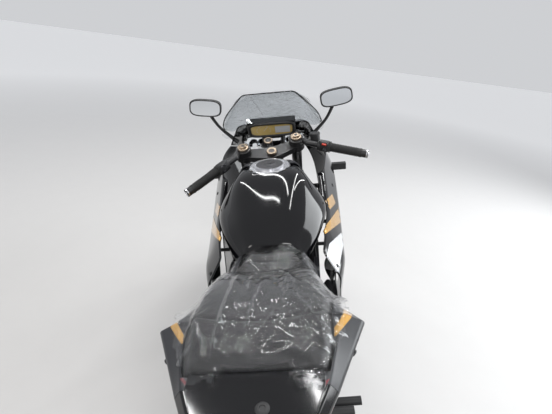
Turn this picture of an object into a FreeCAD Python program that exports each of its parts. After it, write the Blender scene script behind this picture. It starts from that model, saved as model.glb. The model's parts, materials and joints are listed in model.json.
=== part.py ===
import FreeCAD, Part

import math
import os

from FreeCAD import Placement, Rotation, Vector

# Sport bike, parked on its side stand, leaning to its left, with the steering turned to the left.
# Everything is drawn upright, wheels in line and straight ahead, in the bike's own frame: X to the
# rider's right, Y forward from the middle of the wheelbase, Z up from the ground. At the end the
# front end is turned, and the bike is leaned over and set down on its two tyres and its stand.

# Driving dimensions, in millimetres and degrees
WHEELBASE = 1405.0
RAKE = 24.0
TRAIL = 98.0
LEAN = 12.0                 # to the left, on the side stand
STEER_AT_REST = 11.0        # to the left
FRONT_TYRE_RADIUS = 300.0
FRONT_TYRE_WIDTH = 120.0
REAR_TYRE_RADIUS = 312.0
REAR_TYRE_WIDTH = 160.0
RIM_SEAT_RADIUS = 216.0
FLANGE = 5.0                # thickness of the rim's flange
FLANGE_HEIGHT = 12.0
FRONT_RIM_WIDTH = 89.0
REAR_RIM_WIDTH = 114.0
CROWN_SPARE = 4.0           # crown radius beyond half the tyre's width
PANEL = 4.0                 # wall of a body panel
FILM_GAP = 0.6              # clear film above what it covers
FILM_THICKNESS = 1.2
PANEL_GAP = 0.8             # seam between two body panels
SEAT_CLEARANCE = 0.3        # between pieces that seat on each other
BEARING_CLEARANCE = 0.05    # between a pin and its bore, on the radius

# Fork and steering
FORK_SPACING = 210.0
FORK_TUBE_RADIUS = 20.5
FORK_LOWER_RADIUS = 27.0
FORK_TOP = 1058.0           # distances along the steering axis, up from the ground
UPPER_YOKE_LEVEL = 1022.0
LOWER_YOKE_LEVEL = 815.0
YOKE_THICKNESS = 24.0
HEAD_TUBE_RADIUS = 31.0
STEM_RADIUS = 14.0
FRONT_AXLE_RADIUS = 10.0
BAR_RADIUS = 11.0
GRIP_RADIUS = 16.5
GRIP_LENGTH = 122.0
BAR_INNER = Vector(118.0, 372.0, 968.0)
BAR_TIP = Vector(338.0, 252.0, 906.0)

# Chassis
PIVOT_Y = -165.0
PIVOT_Z = 388.0
PIVOT_RADIUS = 11.0
REAR_AXLE_RADIUS = 11.0
PIVOT_TUBE_RADIUS = 22.0
SWINGARM_INNER = 114.0
FRAME_PLATE_X = 116.0
FRAME_PLATE_THICKNESS = 18.0
FRONT_SPROCKET_Y = -85.0
FRONT_SPROCKET_Z = 395.0
DISC_RADIUS = 150.0
DISC_THICKNESS = 4.5
FRONT_DISC_X = 66.0
REAR_DISC_RADIUS = 110.0
REAR_DISC_X = 70.0
CHAIN_X = -100.0
REAR_SPROCKET_RADIUS = 96.0
FRONT_SPROCKET_RADIUS = 36.0
SPROCKET_WIDTH = 7.0
CHAIN_WIDTH = 18.0
CHAIN_HEIGHT = 14.0
CHAIN_CLEARANCE = 0.5       # between the chain and the rear sprocket, which turns inside it
FILLER = Vector(0.0, 178.0, 972.0)
CAP_RADIUS = 48.0
FILLER_RADIUS = 66.0

# Side stand: its pivot on the frame, its foot on the ground beside the tyres, and how it lies folded
STAND_PIVOT = Vector(-152.0, -108.0, 262.0)
STAND_FOOT = Vector(-268.0, -62.0, 0.0)
STAND_FOLDED = Vector(-0.06, -0.99, -0.12)
STAND_PIN_RADIUS = 6.0

# Threaded holes for a stand's spools near the swingarm's ends, and the plate bracket's holes
SPOOL_Y = -648.0
SPOOL_Z = 318.0
SPOOL_RADIUS = 4.0
SPOOL_DEPTH = 16.0
PLATE_HOLE_RADIUS = 3.25
PLATE_HOLE_SPACING = 32.0


def rod(start, end, radius):
    axis = end - start
    return Part.makeCylinder(radius, axis.Length, start, axis)


def ring(start, end, outer, inner):
    return rod(start, end, outer).cut(rod(start, end, inner))


def block(x0, x1, y0, y1, z0, z1):
    return Part.makeBox(x1 - x0, y1 - y0, z1 - z0, Vector(x0, y0, z0))


def fused(shapes):
    first, rest = shapes[0], shapes[1:]
    return (first.fuse(rest) if rest else first).removeSplitter()


def mirrored(shape):
    return shape.mirror(Vector(0, 0, 0), Vector(1, 0, 0))


def both_sides(shape):
    return Part.makeCompound([shape, mirrored(shape)])


def outline(corners):
    """Closed wire through points of one plane, each corner rounded by its own radius."""
    bends = []
    count = len(corners)
    for index, (point, radius) in enumerate(corners):
        before = (corners[index - 1][0] - point).normalize()
        after = (corners[(index + 1) % count][0] - point).normalize()
        if radius == 0:
            bends.append((point, None, point))
            continue
        half = before.getAngle(after) / 2
        reach = radius / math.tan(half)
        centre = point + (before + after).normalize() * (radius / math.sin(half))
        middle = centre + (point - centre).normalize() * radius
        bends.append((point + before * reach, middle, point + after * reach))
    edges = []
    for index, (start, middle, end) in enumerate(bends):
        if middle is not None:
            edges.append(Part.Arc(start, middle, end).toShape())
        following = bends[(index + 1) % count][0]
        if (following - end).Length > 1e-6:
            edges.append(Part.LineSegment(end, following).toShape())
    return Part.Wire(edges)


def side_plate(corners, x0, x1):
    """Plate whose outline is seen from the side, from rows of y, z and corner radius."""
    wire = outline([(Vector(x0, y, z), radius) for y, z, radius in corners])
    return Part.Face(wire).extrude(Vector(x1 - x0, 0, 0))


def plan_plate(corners, z0, z1):
    """Plate whose outline is seen from above, from rows of x, y and corner radius."""
    wire = outline([(Vector(x, y, z0), radius) for x, y, radius in corners])
    return Part.Face(wire).extrude(Vector(0, 0, z1 - z0))


def hull(rows, inset=0.0, ruled=False):
    """Symmetric body lofted through upright cross sections.

    A row is y and the corners of the right half, from the bottom to the top, each x, z and radius.
    """
    wires = []
    for y, half in rows:
        top = max(z for x, z, radius in half)
        bottom = min(z for x, z, radius in half)
        shrunk = []
        for x, z, radius in half:
            level = (z - (top + bottom) / 2) / ((top - bottom) / 2)
            shrunk.append((x - inset, z - inset * level, radius))
        left = [(-x, z, radius) for x, z, radius in reversed(shrunk)]
        wires.append(outline([(Vector(x, y, z), radius) for x, z, radius in shrunk + left]))
    return Part.makeLoft(wires, True, ruled)


def bent_bar(points, radius):
    """Round bar through points, with a ball at each bend."""
    parts = [rod(a, b, radius) for a, b in zip(points, points[1:])]
    parts += [Part.makeSphere(radius, point) for point in points[1:-1]]
    return fused(parts)


# Steering geometry
FRONT_AXLE = Vector(0, WHEELBASE / 2, FRONT_TYRE_RADIUS)
REAR_AXLE = Vector(0, -WHEELBASE / 2, REAR_TYRE_RADIUS)
STEER_UP = Vector(0, -math.sin(math.radians(RAKE)), math.cos(math.radians(RAKE)))
STEER_AHEAD = Vector(0, math.cos(math.radians(RAKE)), math.sin(math.radians(RAKE)))
STEER_GROUND = Vector(0, WHEELBASE / 2 + TRAIL, 0)
FORK_OFFSET = (FRONT_AXLE - STEER_GROUND).dot(STEER_AHEAD)
AXLE_LEVEL = (FRONT_AXLE - STEER_GROUND).dot(STEER_UP)


def on_steering(x, level, ahead=0.0):
    """Point of the front end: sideways, up along the steering axis, and ahead of it."""
    return STEER_GROUND + Vector(x, 0, 0) + STEER_UP * level + STEER_AHEAD * ahead


def turned(points):
    """Solid turned about the X axis from rows of x and radius."""
    corners = [Vector(x, 0, radius) for x, radius in points]
    wire = Part.makePolygon(corners + corners[:1])
    return Part.Face(wire).revolve(Vector(0, 0, 0), Vector(1, 0, 0), 360)


def tyre(radius, width, rim_width):
    """Round-crowned tyre, its tread in five bands, so that one edge meets the ground at the parked lean."""
    crown = width / 2 + CROWN_SPARE
    shoulder = math.degrees(math.asin(width / 2 / crown))
    foot = rim_width / 2 - FLANGE - SEAT_CLEARANCE
    half = []
    for angle in (LEAN, 44, shoulder):
        turn = math.radians(angle)
        half.append((crown * math.sin(turn), radius - crown + crown * math.cos(turn)))
    half += [(foot, RIM_SEAT_RADIUS + FLANGE_HEIGHT + 3), (foot, RIM_SEAT_RADIUS + SEAT_CLEARANCE)]
    return turned([(-x, level) for x, level in reversed(half)] + half)


def cast_wheel(rim_width, hub_width, hub_radius, bore, spokes):
    half = rim_width / 2
    seat = RIM_SEAT_RADIUS
    barrel = turned([(-half, seat - 2), (-half, seat + FLANGE_HEIGHT), (-half + FLANGE, seat + FLANGE_HEIGHT),
                     (-half + FLANGE, seat), (-half + 24, seat - 2), (-half + 34, seat - 16),
                     (half - 34, seat - 16), (half - 24, seat - 2), (half - FLANGE, seat),
                     (half - FLANGE, seat + FLANGE_HEIGHT), (half, seat + FLANGE_HEIGHT),
                     (half, seat - 2), (half - 26, seat - 9), (half - 36, seat - 23),
                     (-half + 36, seat - 23), (-half + 26, seat - 9)])
    hub = ring(Vector(-hub_width / 2, 0, 0), Vector(hub_width / 2, 0, 0), hub_radius, bore)
    parts = [barrel, hub]
    for index in range(spokes):
        for lean in (-13.0, 13.0):
            inner = outline([(Vector(x, y, hub_radius - 5), 4) for x, y in
                             ((-16, -8), (16, -8), (16, 8), (-16, 8))])
            outer = outline([(Vector(x, y, seat - 20), 3) for x, y in
                             ((-11, -5), (11, -5), (11, 5), (-11, 5))])
            spoke = Part.makeLoft([inner, outer], True, True)
            spoke.rotate(Vector(0, 0, 0), Vector(1, 0, 0), lean / 2)
            spoke.translate(Vector(0, -math.sin(math.radians(lean)) * 14, 0))
            spoke.rotate(Vector(0, 0, 0), Vector(1, 0, 0), 360.0 * index / spokes)
            parts.append(spoke)
    return fused(parts)


def brake_disc(x, radius, inner, carrier_radius, bore, arms):
    band = ring(Vector(x - DISC_THICKNESS / 2, 0, 0), Vector(x + DISC_THICKNESS / 2, 0, 0), radius, inner)
    carrier = ring(Vector(x - DISC_THICKNESS / 2, 0, 0), Vector(x + DISC_THICKNESS / 2, 0, 0),
                   carrier_radius, bore)
    parts = [band, carrier]
    for index in range(arms):
        arm = block(x - DISC_THICKNESS / 2, x + DISC_THICKNESS / 2, -8, 8, carrier_radius - 4, inner + 4)
        arm.rotate(Vector(0, 0, 0), Vector(1, 0, 0), 360.0 * index / arms)
        parts.append(arm)
    return fused(parts)


def moved(shape, point):
    copy = shape.copy()
    copy.translate(point)
    return copy


def front_wheel_nodes():
    hub_radius = 34.0
    rim = cast_wheel(FRONT_RIM_WIDTH, 2 * (FRONT_DISC_X - DISC_THICKNESS / 2), hub_radius,
                     FRONT_AXLE_RADIUS + BEARING_CLEARANCE, 5)
    rubber = tyre(FRONT_TYRE_RADIUS, FRONT_TYRE_WIDTH, FRONT_RIM_WIDTH)
    disc = brake_disc(FRONT_DISC_X, DISC_RADIUS, 112, 46, hub_radius - 12, 5)
    return {
        "front_rim": moved(rim, FRONT_AXLE),
        "front_tyre": moved(rubber, FRONT_AXLE),
        "front_brake_discs": moved(both_sides(disc), FRONT_AXLE),
    }


def rear_wheel_nodes():
    hub_radius = 40.0
    rim = cast_wheel(REAR_RIM_WIDTH, 2 * (REAR_DISC_X - DISC_THICKNESS / 2), hub_radius,
                     REAR_AXLE_RADIUS + BEARING_CLEARANCE, 5)
    rubber = tyre(REAR_TYRE_RADIUS, REAR_TYRE_WIDTH, REAR_RIM_WIDTH)
    disc = brake_disc(REAR_DISC_X, REAR_DISC_RADIUS, 80, 52, hub_radius - 14, 5)
    sprocket = ring(Vector(CHAIN_X - SPROCKET_WIDTH / 2, 0, 0), Vector(CHAIN_X + SPROCKET_WIDTH / 2, 0, 0),
                    REAR_SPROCKET_RADIUS, hub_radius - 14)
    carrier = ring(Vector(CHAIN_X + SPROCKET_WIDTH / 2, 0, 0),
                   Vector(-(REAR_DISC_X - DISC_THICKNESS / 2), 0, 0), 58, hub_radius - 14)
    for index in range(5):
        window = rod(Vector(-200, 0, 72), Vector(0, 0, 72), 15)
        window.rotate(Vector(0, 0, 0), Vector(1, 0, 0), 72.0 * index)
        sprocket = sprocket.cut(window)
    return {
        "rear_rim": moved(rim, REAR_AXLE),
        "rear_tyre": moved(rubber, REAR_AXLE),
        "rear_brake_disc": moved(disc, REAR_AXLE),
        "rear_sprocket": moved(fused([sprocket, carrier]), REAR_AXLE),
    }


def yoke(level, tail):
    """Clamp plate across both fork tubes and the steering stem."""
    half = FORK_SPACING / 2
    eye = FORK_TUBE_RADIUS + 12
    low, high = level - YOKE_THICKNESS / 2, level + YOKE_THICKNESS / 2
    parts = []
    for x, ahead, radius in ((-half, FORK_OFFSET, eye), (half, FORK_OFFSET, eye), (0, 0, tail)):
        parts.append(rod(on_steering(x, low, ahead), on_steering(x, high, ahead), radius))
    web = outline([(on_steering(x, low, ahead), 8) for x, ahead in
                   ((-half, FORK_OFFSET - eye + 6), (-20, -tail + 4), (20, -tail + 4),
                    (half, FORK_OFFSET - eye + 6), (half, FORK_OFFSET + eye - 12),
                    (30, FORK_OFFSET + 4), (-30, FORK_OFFSET + 4), (-half, FORK_OFFSET + eye - 12))])
    parts.append(Part.Face(web).extrude(STEER_UP * YOKE_THICKNESS))
    plate = fused(parts)
    for x in (-half, half):
        plate = plate.cut(rod(on_steering(x, low - 1, FORK_OFFSET), on_steering(x, high + 1, FORK_OFFSET),
                              FORK_TUBE_RADIUS))
    return plate


def steering_nodes():
    half = FORK_SPACING / 2
    nodes = {}
    stem = rod(on_steering(0, LOWER_YOKE_LEVEL), on_steering(0, UPPER_YOKE_LEVEL + 22), STEM_RADIUS)
    nut = rod(on_steering(0, UPPER_YOKE_LEVEL + YOKE_THICKNESS / 2),
              on_steering(0, UPPER_YOKE_LEVEL + YOKE_THICKNESS / 2 + 12), 17)
    lower = yoke(LOWER_YOKE_LEVEL, 30)
    upper = yoke(UPPER_YOKE_LEVEL, 28)
    nodes["fork_yokes"] = fused([lower, stem, upper, nut])
    tube = rod(on_steering(half, AXLE_LEVEL + 150, FORK_OFFSET), on_steering(half, FORK_TOP, FORK_OFFSET),
               FORK_TUBE_RADIUS)
    cap = rod(on_steering(half, FORK_TOP, FORK_OFFSET), on_steering(half, FORK_TOP + 7, FORK_OFFSET), 14)
    nodes["fork_tubes"] = both_sides(fused([tube, cap]))
    slider = ring(on_steering(half, AXLE_LEVEL + 10, FORK_OFFSET), on_steering(half, AXLE_LEVEL + 330, FORK_OFFSET),
                  FORK_LOWER_RADIUS, FORK_TUBE_RADIUS)
    solid_foot = rod(on_steering(half, AXLE_LEVEL - 26, FORK_OFFSET), on_steering(half, AXLE_LEVEL + 150, FORK_OFFSET),
                     FORK_LOWER_RADIUS - 3)
    eye = rod(FRONT_AXLE + Vector(half - 24, 0, 0), FRONT_AXLE + Vector(half + 22, 0, 0), 24)
    slider = fused([slider, solid_foot, eye])
    slider = slider.cut(rod(FRONT_AXLE + Vector(half - 60, 0, 0), FRONT_AXLE + Vector(half + 60, 0, 0),
                            FRONT_AXLE_RADIUS + 2))
    nodes["fork_lowers"] = both_sides(slider)
    nodes["front_axle"] = fused([
        rod(FRONT_AXLE + Vector(-half - 26, 0, 0), FRONT_AXLE + Vector(half + 26, 0, 0), FRONT_AXLE_RADIUS),
        ring(FRONT_AXLE + Vector(-half - 22, 0, 0), FRONT_AXLE + Vector(-FRONT_DISC_X - 6, 0, 0),
             FRONT_AXLE_RADIUS + 2, FRONT_AXLE_RADIUS - 1),
        ring(FRONT_AXLE + Vector(FRONT_DISC_X + 6, 0, 0), FRONT_AXLE + Vector(half + 22, 0, 0),
             FRONT_AXLE_RADIUS + 2, FRONT_AXLE_RADIUS - 1),
    ])
    nodes.update(handlebar_nodes(half))
    nodes["front_mudguard"] = front_mudguard(nodes["fork_lowers"])
    nodes["front_calipers"] = both_sides(front_caliper(half, slider))
    lock = rod(on_steering(0, UPPER_YOKE_LEVEL - 20, FORK_OFFSET + 40),
               on_steering(0, UPPER_YOKE_LEVEL + 16, FORK_OFFSET + 40), 17)
    nodes["ignition_lock"] = fused([lock, rod(on_steering(0, UPPER_YOKE_LEVEL, FORK_OFFSET),
                                              on_steering(0, UPPER_YOKE_LEVEL, FORK_OFFSET + 30), 8)])
    nodes["ignition_lock"] = nodes["ignition_lock"].cut(nodes["fork_yokes"])
    return nodes


def handlebar_nodes(half):
    along = (BAR_TIP - BAR_INNER).normalize()
    fork_top = on_steering(half, FORK_TOP - 14, FORK_OFFSET)
    clamp = ring(on_steering(half, UPPER_YOKE_LEVEL + YOKE_THICKNESS / 2, FORK_OFFSET),
                 on_steering(half, FORK_TOP - 2, FORK_OFFSET), FORK_TUBE_RADIUS + 9, FORK_TUBE_RADIUS)
    grip_start = BAR_TIP - along * (GRIP_LENGTH + 24)
    grip_end = BAR_TIP - along * 24
    bar = bent_bar([fork_top + Vector(22, -6, 0), BAR_INNER + along * 26, BAR_TIP - along * 20], BAR_RADIUS)
    grip = ring(grip_start, grip_end, GRIP_RADIUS, BAR_RADIUS)
    weight = rod(grip_end, BAR_TIP, 15)
    weight = weight.cut(rod(grip_end, BAR_TIP - along * 20, BAR_RADIUS))
    pod = ring(grip_start - along * 46, grip_start, 21, BAR_RADIUS)
    back = Vector(0, -1, 0)
    ahead = Vector(0, 1, 0)
    lever_root = grip_start - along * 20 + ahead * 34
    lever_tip = BAR_TIP - along * 46 + ahead * 42 + Vector(0, 0, -6)
    lever = bent_bar([lever_root, grip_start + along * 22 + ahead * 46, lever_tip], 6)
    perch = rod(grip_start - along * 22, lever_root, 9).cut(rod(grip_start - along * 60, grip_end, BAR_RADIUS))
    switch = moved(rod(Vector(0, 0, 0), back * 12, 8), grip_start - along * 22 + back * 16)
    controls = fused([pod, perch, lever, switch])
    reservoir = rod(lever_root + Vector(-20, 14, -6), lever_root + Vector(-20, 14, 38), 19)
    arm = rod(lever_root, lever_root + Vector(-20, 14, 0), 8)
    left = mirrored(controls)
    right = fused([controls, arm, reservoir])
    fork = rod(on_steering(half, 900, FORK_OFFSET), on_steering(half, 1200, FORK_OFFSET), FORK_TUBE_RADIUS)
    yoke_room = rod(on_steering(half, UPPER_YOKE_LEVEL - 40, FORK_OFFSET),
                    on_steering(half, UPPER_YOKE_LEVEL + YOKE_THICKNESS / 2, FORK_OFFSET), 60)
    return {
        "handlebars": both_sides(fused([bar, clamp, weight]).cut(fork).cut(yoke_room)),
        "hand_grips": both_sides(grip),
        "hand_controls": Part.makeCompound([left, right]),
    }


def front_mudguard(lowers):
    reach = FRONT_TYRE_RADIUS + 14
    crown = FRONT_TYRE_WIDTH / 2 + 14
    profile = outline([(Vector(x, 0, z), 3) for x, z in
                       ((-crown, reach - 52), (-crown, reach - 12), (-20, reach + 6), (20, reach + 6),
                        (crown, reach - 12), (crown, reach - 52), (crown - 8, reach - 52),
                        (crown - 8, reach - 18), (18, reach), (-18, reach), (-crown + 8, reach - 18),
                        (-crown + 8, reach - 52))])
    guard = Part.Face(profile).revolve(Vector(0, 0, 0), Vector(1, 0, 0), 98)
    guard.rotate(Vector(0, 0, 0), Vector(1, 0, 0), -30)
    guard = moved(guard, FRONT_AXLE)
    tabs = [rod(on_steering(side * (crown - 5), AXLE_LEVEL + 282, FORK_OFFSET),
                on_steering(side * (crown + 12), AXLE_LEVEL + 282, FORK_OFFSET), 12) for side in (-1, 1)]
    return solid_only(fused([guard] + tabs).cut(lowers))


def front_caliper(half, slider):
    body = block(FRONT_DISC_X - 22, FRONT_DISC_X + 26, -30, 30, 88, 168)
    slot = block(FRONT_DISC_X - DISC_THICKNESS / 2 - 3, FRONT_DISC_X + DISC_THICKNESS / 2 + 3, -40, 40,
                 60, DISC_RADIUS + 6)
    body = body.cut(slot)
    body.rotate(Vector(0, 0, 0), Vector(1, 0, 0), 62)
    lug = rod(on_steering(half, AXLE_LEVEL + 100, FORK_OFFSET), FRONT_AXLE + Vector(88, -90, 66), 12)
    return solid_only(fused([moved(body, FRONT_AXLE), lug]).cut(slider))


def main_frame():
    plate_out = FRAME_PLATE_X + FRAME_PLATE_THICKNESS
    head_low, head_high = LOWER_YOKE_LEVEL + YOKE_THICKNESS / 2 + 3, UPPER_YOKE_LEVEL - YOKE_THICKNESS / 2 - 3
    parts = [rod(on_steering(0, head_low), on_steering(0, head_high), HEAD_TUBE_RADIUS)]
    head_top, head_bottom = on_steering(0, head_high - 82), on_steering(0, head_low + 24)
    # each tube of the trellis: start, end and radius on the right side
    knee = Vector(118, 190, 735)
    waist = Vector(120, 215, 620)
    rear_high = Vector(FRAME_PLATE_X + 9, -70, 610)
    rear_low = Vector(FRAME_PLATE_X + 9, -40, 500)
    tubes = [
        (head_top, knee, 16), (knee, rear_high, 16),
        (head_bottom, waist, 16), (waist, rear_low, 14),
        (knee, waist, 11), (waist, rear_high, 11),
    ]
    side = [rod(start, end, radius) for start, end, radius in tubes]
    side += [Part.makeSphere(18, knee), Part.makeSphere(18, waist)]
    side.append(side_plate([(-70, 645, 14), (-20, 520, 30), (-60, 420, 30), (-56, 236, 18), (-130, 236, 18),
                            (-208, 330, 25), (-200, 440, 25), (-130, 640, 14)], FRAME_PLATE_X, plate_out))
    right = fused(side)
    parts += [right, mirrored(right)]
    inside = hull(FAIRING_ROWS, PANEL)
    for y, z in ((214, 622), (190, 733)):
        stay = rod(Vector(118, y, z), Vector(300, y, z), 7).common(inside)
        parts += [stay, mirrored(stay)]
    parts.append(rod(Vector(-FRAME_PLATE_X, -110, 600), Vector(FRAME_PLATE_X, -110, 600), 15))
    parts.append(rod(Vector(-FRAME_PLATE_X, -100, 262), Vector(FRAME_PLATE_X, -100, 262), 15))
    frame = fused(parts)
    frame = frame.cut(rod(on_steering(0, head_low - 1), on_steering(0, head_high + 1),
                          STEM_RADIUS + BEARING_CLEARANCE))
    pivot = Vector(0, PIVOT_Y, PIVOT_Z)
    reach = Vector(plate_out + 1, 0, 0)
    return frame.cut(rod(pivot - reach, pivot + reach, PIVOT_RADIUS))


def subframe(frame):
    side = []
    rail = [Vector(80, -118, 600), Vector(66, -300, 745), Vector(52, -520, 822), Vector(44, -625, 834)]
    side.append(bent_bar(rail, 12))
    stay = [Vector(FRAME_PLATE_X, -185, 470), Vector(56, -430, 780)]
    side.append(rod(stay[0], stay[1], 10))
    right = fused(side)
    inside = hull(TAIL_FRONT_ROWS, PANEL, True)
    tabs = [rod(Vector(-160, y, z), Vector(160, y, z), 8).common(inside) for y, z in ((-340, 759), (-470, 804.5))]
    return fused([right, mirrored(right)] + tabs).cut(frame)


def engine():
    case = side_plate([(-60, 250, 25), (250, 230, 40), (300, 330, 40), (180, 440, 20), (-40, 470, 30)], -78, 112)
    covers = side_plate([(10, 262, 25), (240, 242, 40), (286, 330, 40), (180, 425, 20), (20, 440, 30)], -128, 128)
    cylinders = side_plate([(90, 420, 8), (270, 400, 8), (310, 560, 10), (150, 600, 10)], -86, 86)
    head = side_plate([(146, 592, 8), (312, 552, 10), (328, 632, 16), (175, 680, 16)], -94, 94)
    sump = side_plate([(10, 252, 15), (200, 240, 15), (170, 206, 15), (40, 206, 15)], -70, 70)
    clutch = rod(Vector(126, 60, 345), Vector(150, 60, 345), 82)
    generator = rod(Vector(-126, 165, 335), Vector(-146, 165, 335), 70)
    shaft = rod(Vector(-78, FRONT_SPROCKET_Y, FRONT_SPROCKET_Z), Vector(-90, FRONT_SPROCKET_Y, FRONT_SPROCKET_Z), 16)
    rear_mount = side_plate([(-85, 300, 10), (-50, 300, 10), (-50, 450, 10), (-110, 450, 14)], -78, 100)
    return fused([case, covers, cylinders, head, sump, clutch, generator, shaft, rear_mount, front_sprocket()])


def front_sprocket():
    centre = Vector(0, FRONT_SPROCKET_Y, FRONT_SPROCKET_Z)
    return rod(centre + Vector(CHAIN_X - SPROCKET_WIDTH / 2, 0, 0), centre + Vector(-90, 0, 0),
               FRONT_SPROCKET_RADIUS - CHAIN_HEIGHT / 2 - SEAT_CLEARANCE)


def chain():
    """One closed loop round both sprockets."""
    front = Vector(0, FRONT_SPROCKET_Y, FRONT_SPROCKET_Z)
    rear = REAR_AXLE
    span = front - rear
    rear_radius = REAR_SPROCKET_RADIUS + CHAIN_HEIGHT / 2 + CHAIN_CLEARANCE
    angle = math.acos((rear_radius - FRONT_SPROCKET_RADIUS) / span.Length)
    slope = math.atan2(span.z, span.y)

    def loop(offset, x0, x1):
        marks = []
        for centre, radius, sides in ((rear, rear_radius + offset, (1, 2, -1)),
                                      (front, FRONT_SPROCKET_RADIUS + offset, (-1, 0, 1))):
            points = []
            for side in sides:
                turn = math.pi if side == 2 else 0 if side == 0 else side * angle
                direction = slope + turn
                points.append(Vector(x0, centre.y + radius * math.cos(direction),
                                     centre.z + radius * math.sin(direction)))
            marks.append(points)
        (a, b, c), (d, e, f) = marks
        wire = Part.Wire([Part.Arc(a, b, c).toShape(), Part.LineSegment(c, d).toShape(),
                          Part.Arc(d, e, f).toShape(), Part.LineSegment(f, a).toShape()])
        return Part.Face(wire).extrude(Vector(x1 - x0, 0, 0))

    x0, x1 = CHAIN_X - CHAIN_WIDTH / 2, CHAIN_X + CHAIN_WIDTH / 2
    outer = loop(CHAIN_HEIGHT / 2, x0, x1)
    return outer.cut(loop(-CHAIN_HEIGHT / 2, x0, x1))


def swingarm():
    arm_plan = plan_plate([(-112, -140, 6), (-112, -230, 40), (-142, -360, 60), (-142, -748, 10),
                           (-114, -748, 10), (-114, -412, 60), (-82, -340, 40), (-82, -140, 6)], 200, 500)
    profile = side_plate([(-140, 366, 20), (-140, 410, 20), (-390, 402, 200), (-560, 372, 200), (-702, 348, 60),
                          (-750, 345, 12), (-750, 280, 12), (-640, 282, 60), (-390, 336, 200)], -160, 160)
    arm = arm_plan.common(profile)
    pivot = Vector(0, PIVOT_Y, PIVOT_Z)
    half = Vector(FRAME_PLATE_X - SEAT_CLEARANCE, 0, 0)
    bridge = side_plate([(-262, 350, 12), (-262, 400, 12), (-352, 392, 12), (-352, 346, 12)], -100, 100)
    whole = fused([arm, mirrored(arm), rod(pivot - half, pivot + half, PIVOT_TUBE_RADIUS), bridge])
    whole = whole.cut(rod(pivot - half, pivot + half, PIVOT_RADIUS))
    slot = side_plate([(-725, 300.5, 11.4), (-725, 323.5, 11.4), (-680, 323.5, 11.4), (-680, 300.5, 11.4)], -160, 160)
    spool = rod(Vector(142 - SPOOL_DEPTH, SPOOL_Y, SPOOL_Z), Vector(160, SPOOL_Y, SPOOL_Z), SPOOL_RADIUS)
    return whole.cut(slot).cut(spool).cut(mirrored(spool))


def rear_axle():
    shaft = rod(REAR_AXLE + Vector(-158, 0, 0), REAR_AXLE + Vector(158, 0, 0), REAR_AXLE_RADIUS)
    nuts = [rod(REAR_AXLE + Vector(side * 142.3, 0, 0), REAR_AXLE + Vector(side * 154, 0, 0), 18) for side in (-1, 1)]
    spacer = ring(REAR_AXLE + Vector(REAR_DISC_X + 4, 0, 0), REAR_AXLE + Vector(113.7, 0, 0), 16, REAR_AXLE_RADIUS - 1)
    left = ring(REAR_AXLE + Vector(-113.7, 0, 0), REAR_AXLE + Vector(CHAIN_X - SPROCKET_WIDTH / 2 - 2, 0, 0),
                16, REAR_AXLE_RADIUS - 1)
    return fused([shaft] + nuts + [spacer, left])


def pivot_axle():
    pivot = Vector(0, PIVOT_Y, PIVOT_Z)
    plate_out = FRAME_PLATE_X + FRAME_PLATE_THICKNESS
    shaft = rod(pivot - Vector(plate_out, 0, 0), pivot + Vector(plate_out, 0, 0), PIVOT_RADIUS)
    nuts = [rod(pivot + Vector(side * plate_out, 0, 0), pivot + Vector(side * (plate_out + 8), 0, 0), 19)
            for side in (-1, 1)]
    return fused([shaft] + nuts)


def shock_absorber(frame, arms):
    top, bottom = Vector(0, -130, 580), Vector(0, -300, 410)
    along = (top - bottom).normalize()
    parts = [rod(bottom, top, 9), rod(bottom - Vector(26, 0, 0), bottom + Vector(26, 0, 0), 14),
             rod(top - Vector(26, 0, 0), top + Vector(26, 0, 0), 14),
             rod(bottom + along * 24, top - along * 24, 20)]
    turns = 8
    pitch = ((top - bottom).Length - 66) / turns
    for index in range(turns):
        foot = bottom + along * (32 + pitch * index)
        parts.append(Part.makeCone(28, 37, pitch / 2, foot, along))
        parts.append(Part.makeCone(37, 28, pitch / 2, foot + along * (pitch / 2), along))
    parts += [rod(bottom + along * 24, bottom + along * 32, 36), rod(top - along * 34, top - along * 24, 36)]
    return solid_only(fused(parts).cut(frame).cut(arms))


def radiator(engine_body):
    core = block(-165, 165, -14, 14, 0, 260)
    core.rotate(Vector(0, 0, 0), Vector(1, 0, 0), -13)
    core = moved(core, Vector(0, 373, 400))
    stays = [rod(Vector(x, 315, 622), Vector(x, 422, 622), 6) for x in (-20, 20)]
    return solid_only(fused([core] + stays).cut(engine_body))


def exhaust(engine_body):
    parts = []
    for x in (-55, 55):
        parts.append(bent_bar([Vector(x, 310, 600), Vector(x, 340, 560), Vector(x * 0.9, 318, 300),
                               Vector(x * 0.5, 270, 180), Vector(20, 60, 178), Vector(60, -30, 176)], 19))
    parts.append(rod(Vector(52, -22, 176), Vector(166, -196, 218), 26))
    return fused(parts).cut(engine_body)


def silencer(pipes):
    start, end = Vector(172, -205, 221), Vector(216, -560, 330)
    along = (end - start).normalize()
    body = Part.makeCone(30, 50, 110, start, along)
    body = body.fuse(rod(start + along * 110, end, 50)).removeSplitter()
    tip = ring(end, end + along * 26, 40, 30)
    hollow = rod(end - along * 30, end + along * 2, 30)
    return fused([body, tip]).cut(hollow).cut(pipes)


TANK_ROWS = [
    # y, then x, z and corner radius from the bottom up
    (322, [(60, 836, 12), (96, 866, 18), (60, 930, 20)]),
    (220, [(96, 765, 20), (162, 838, 30), (82, 964, 30)]),
    (100, [(100, 750, 20), (196, 838, 34), (96, 966, 36)]),
    (-20, [(100, 745, 20), (166, 826, 30), (76, 908, 30)]),
    (-112, [(84, 748, 14), (106, 786, 18), (56, 836, 16)]),
]

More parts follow.
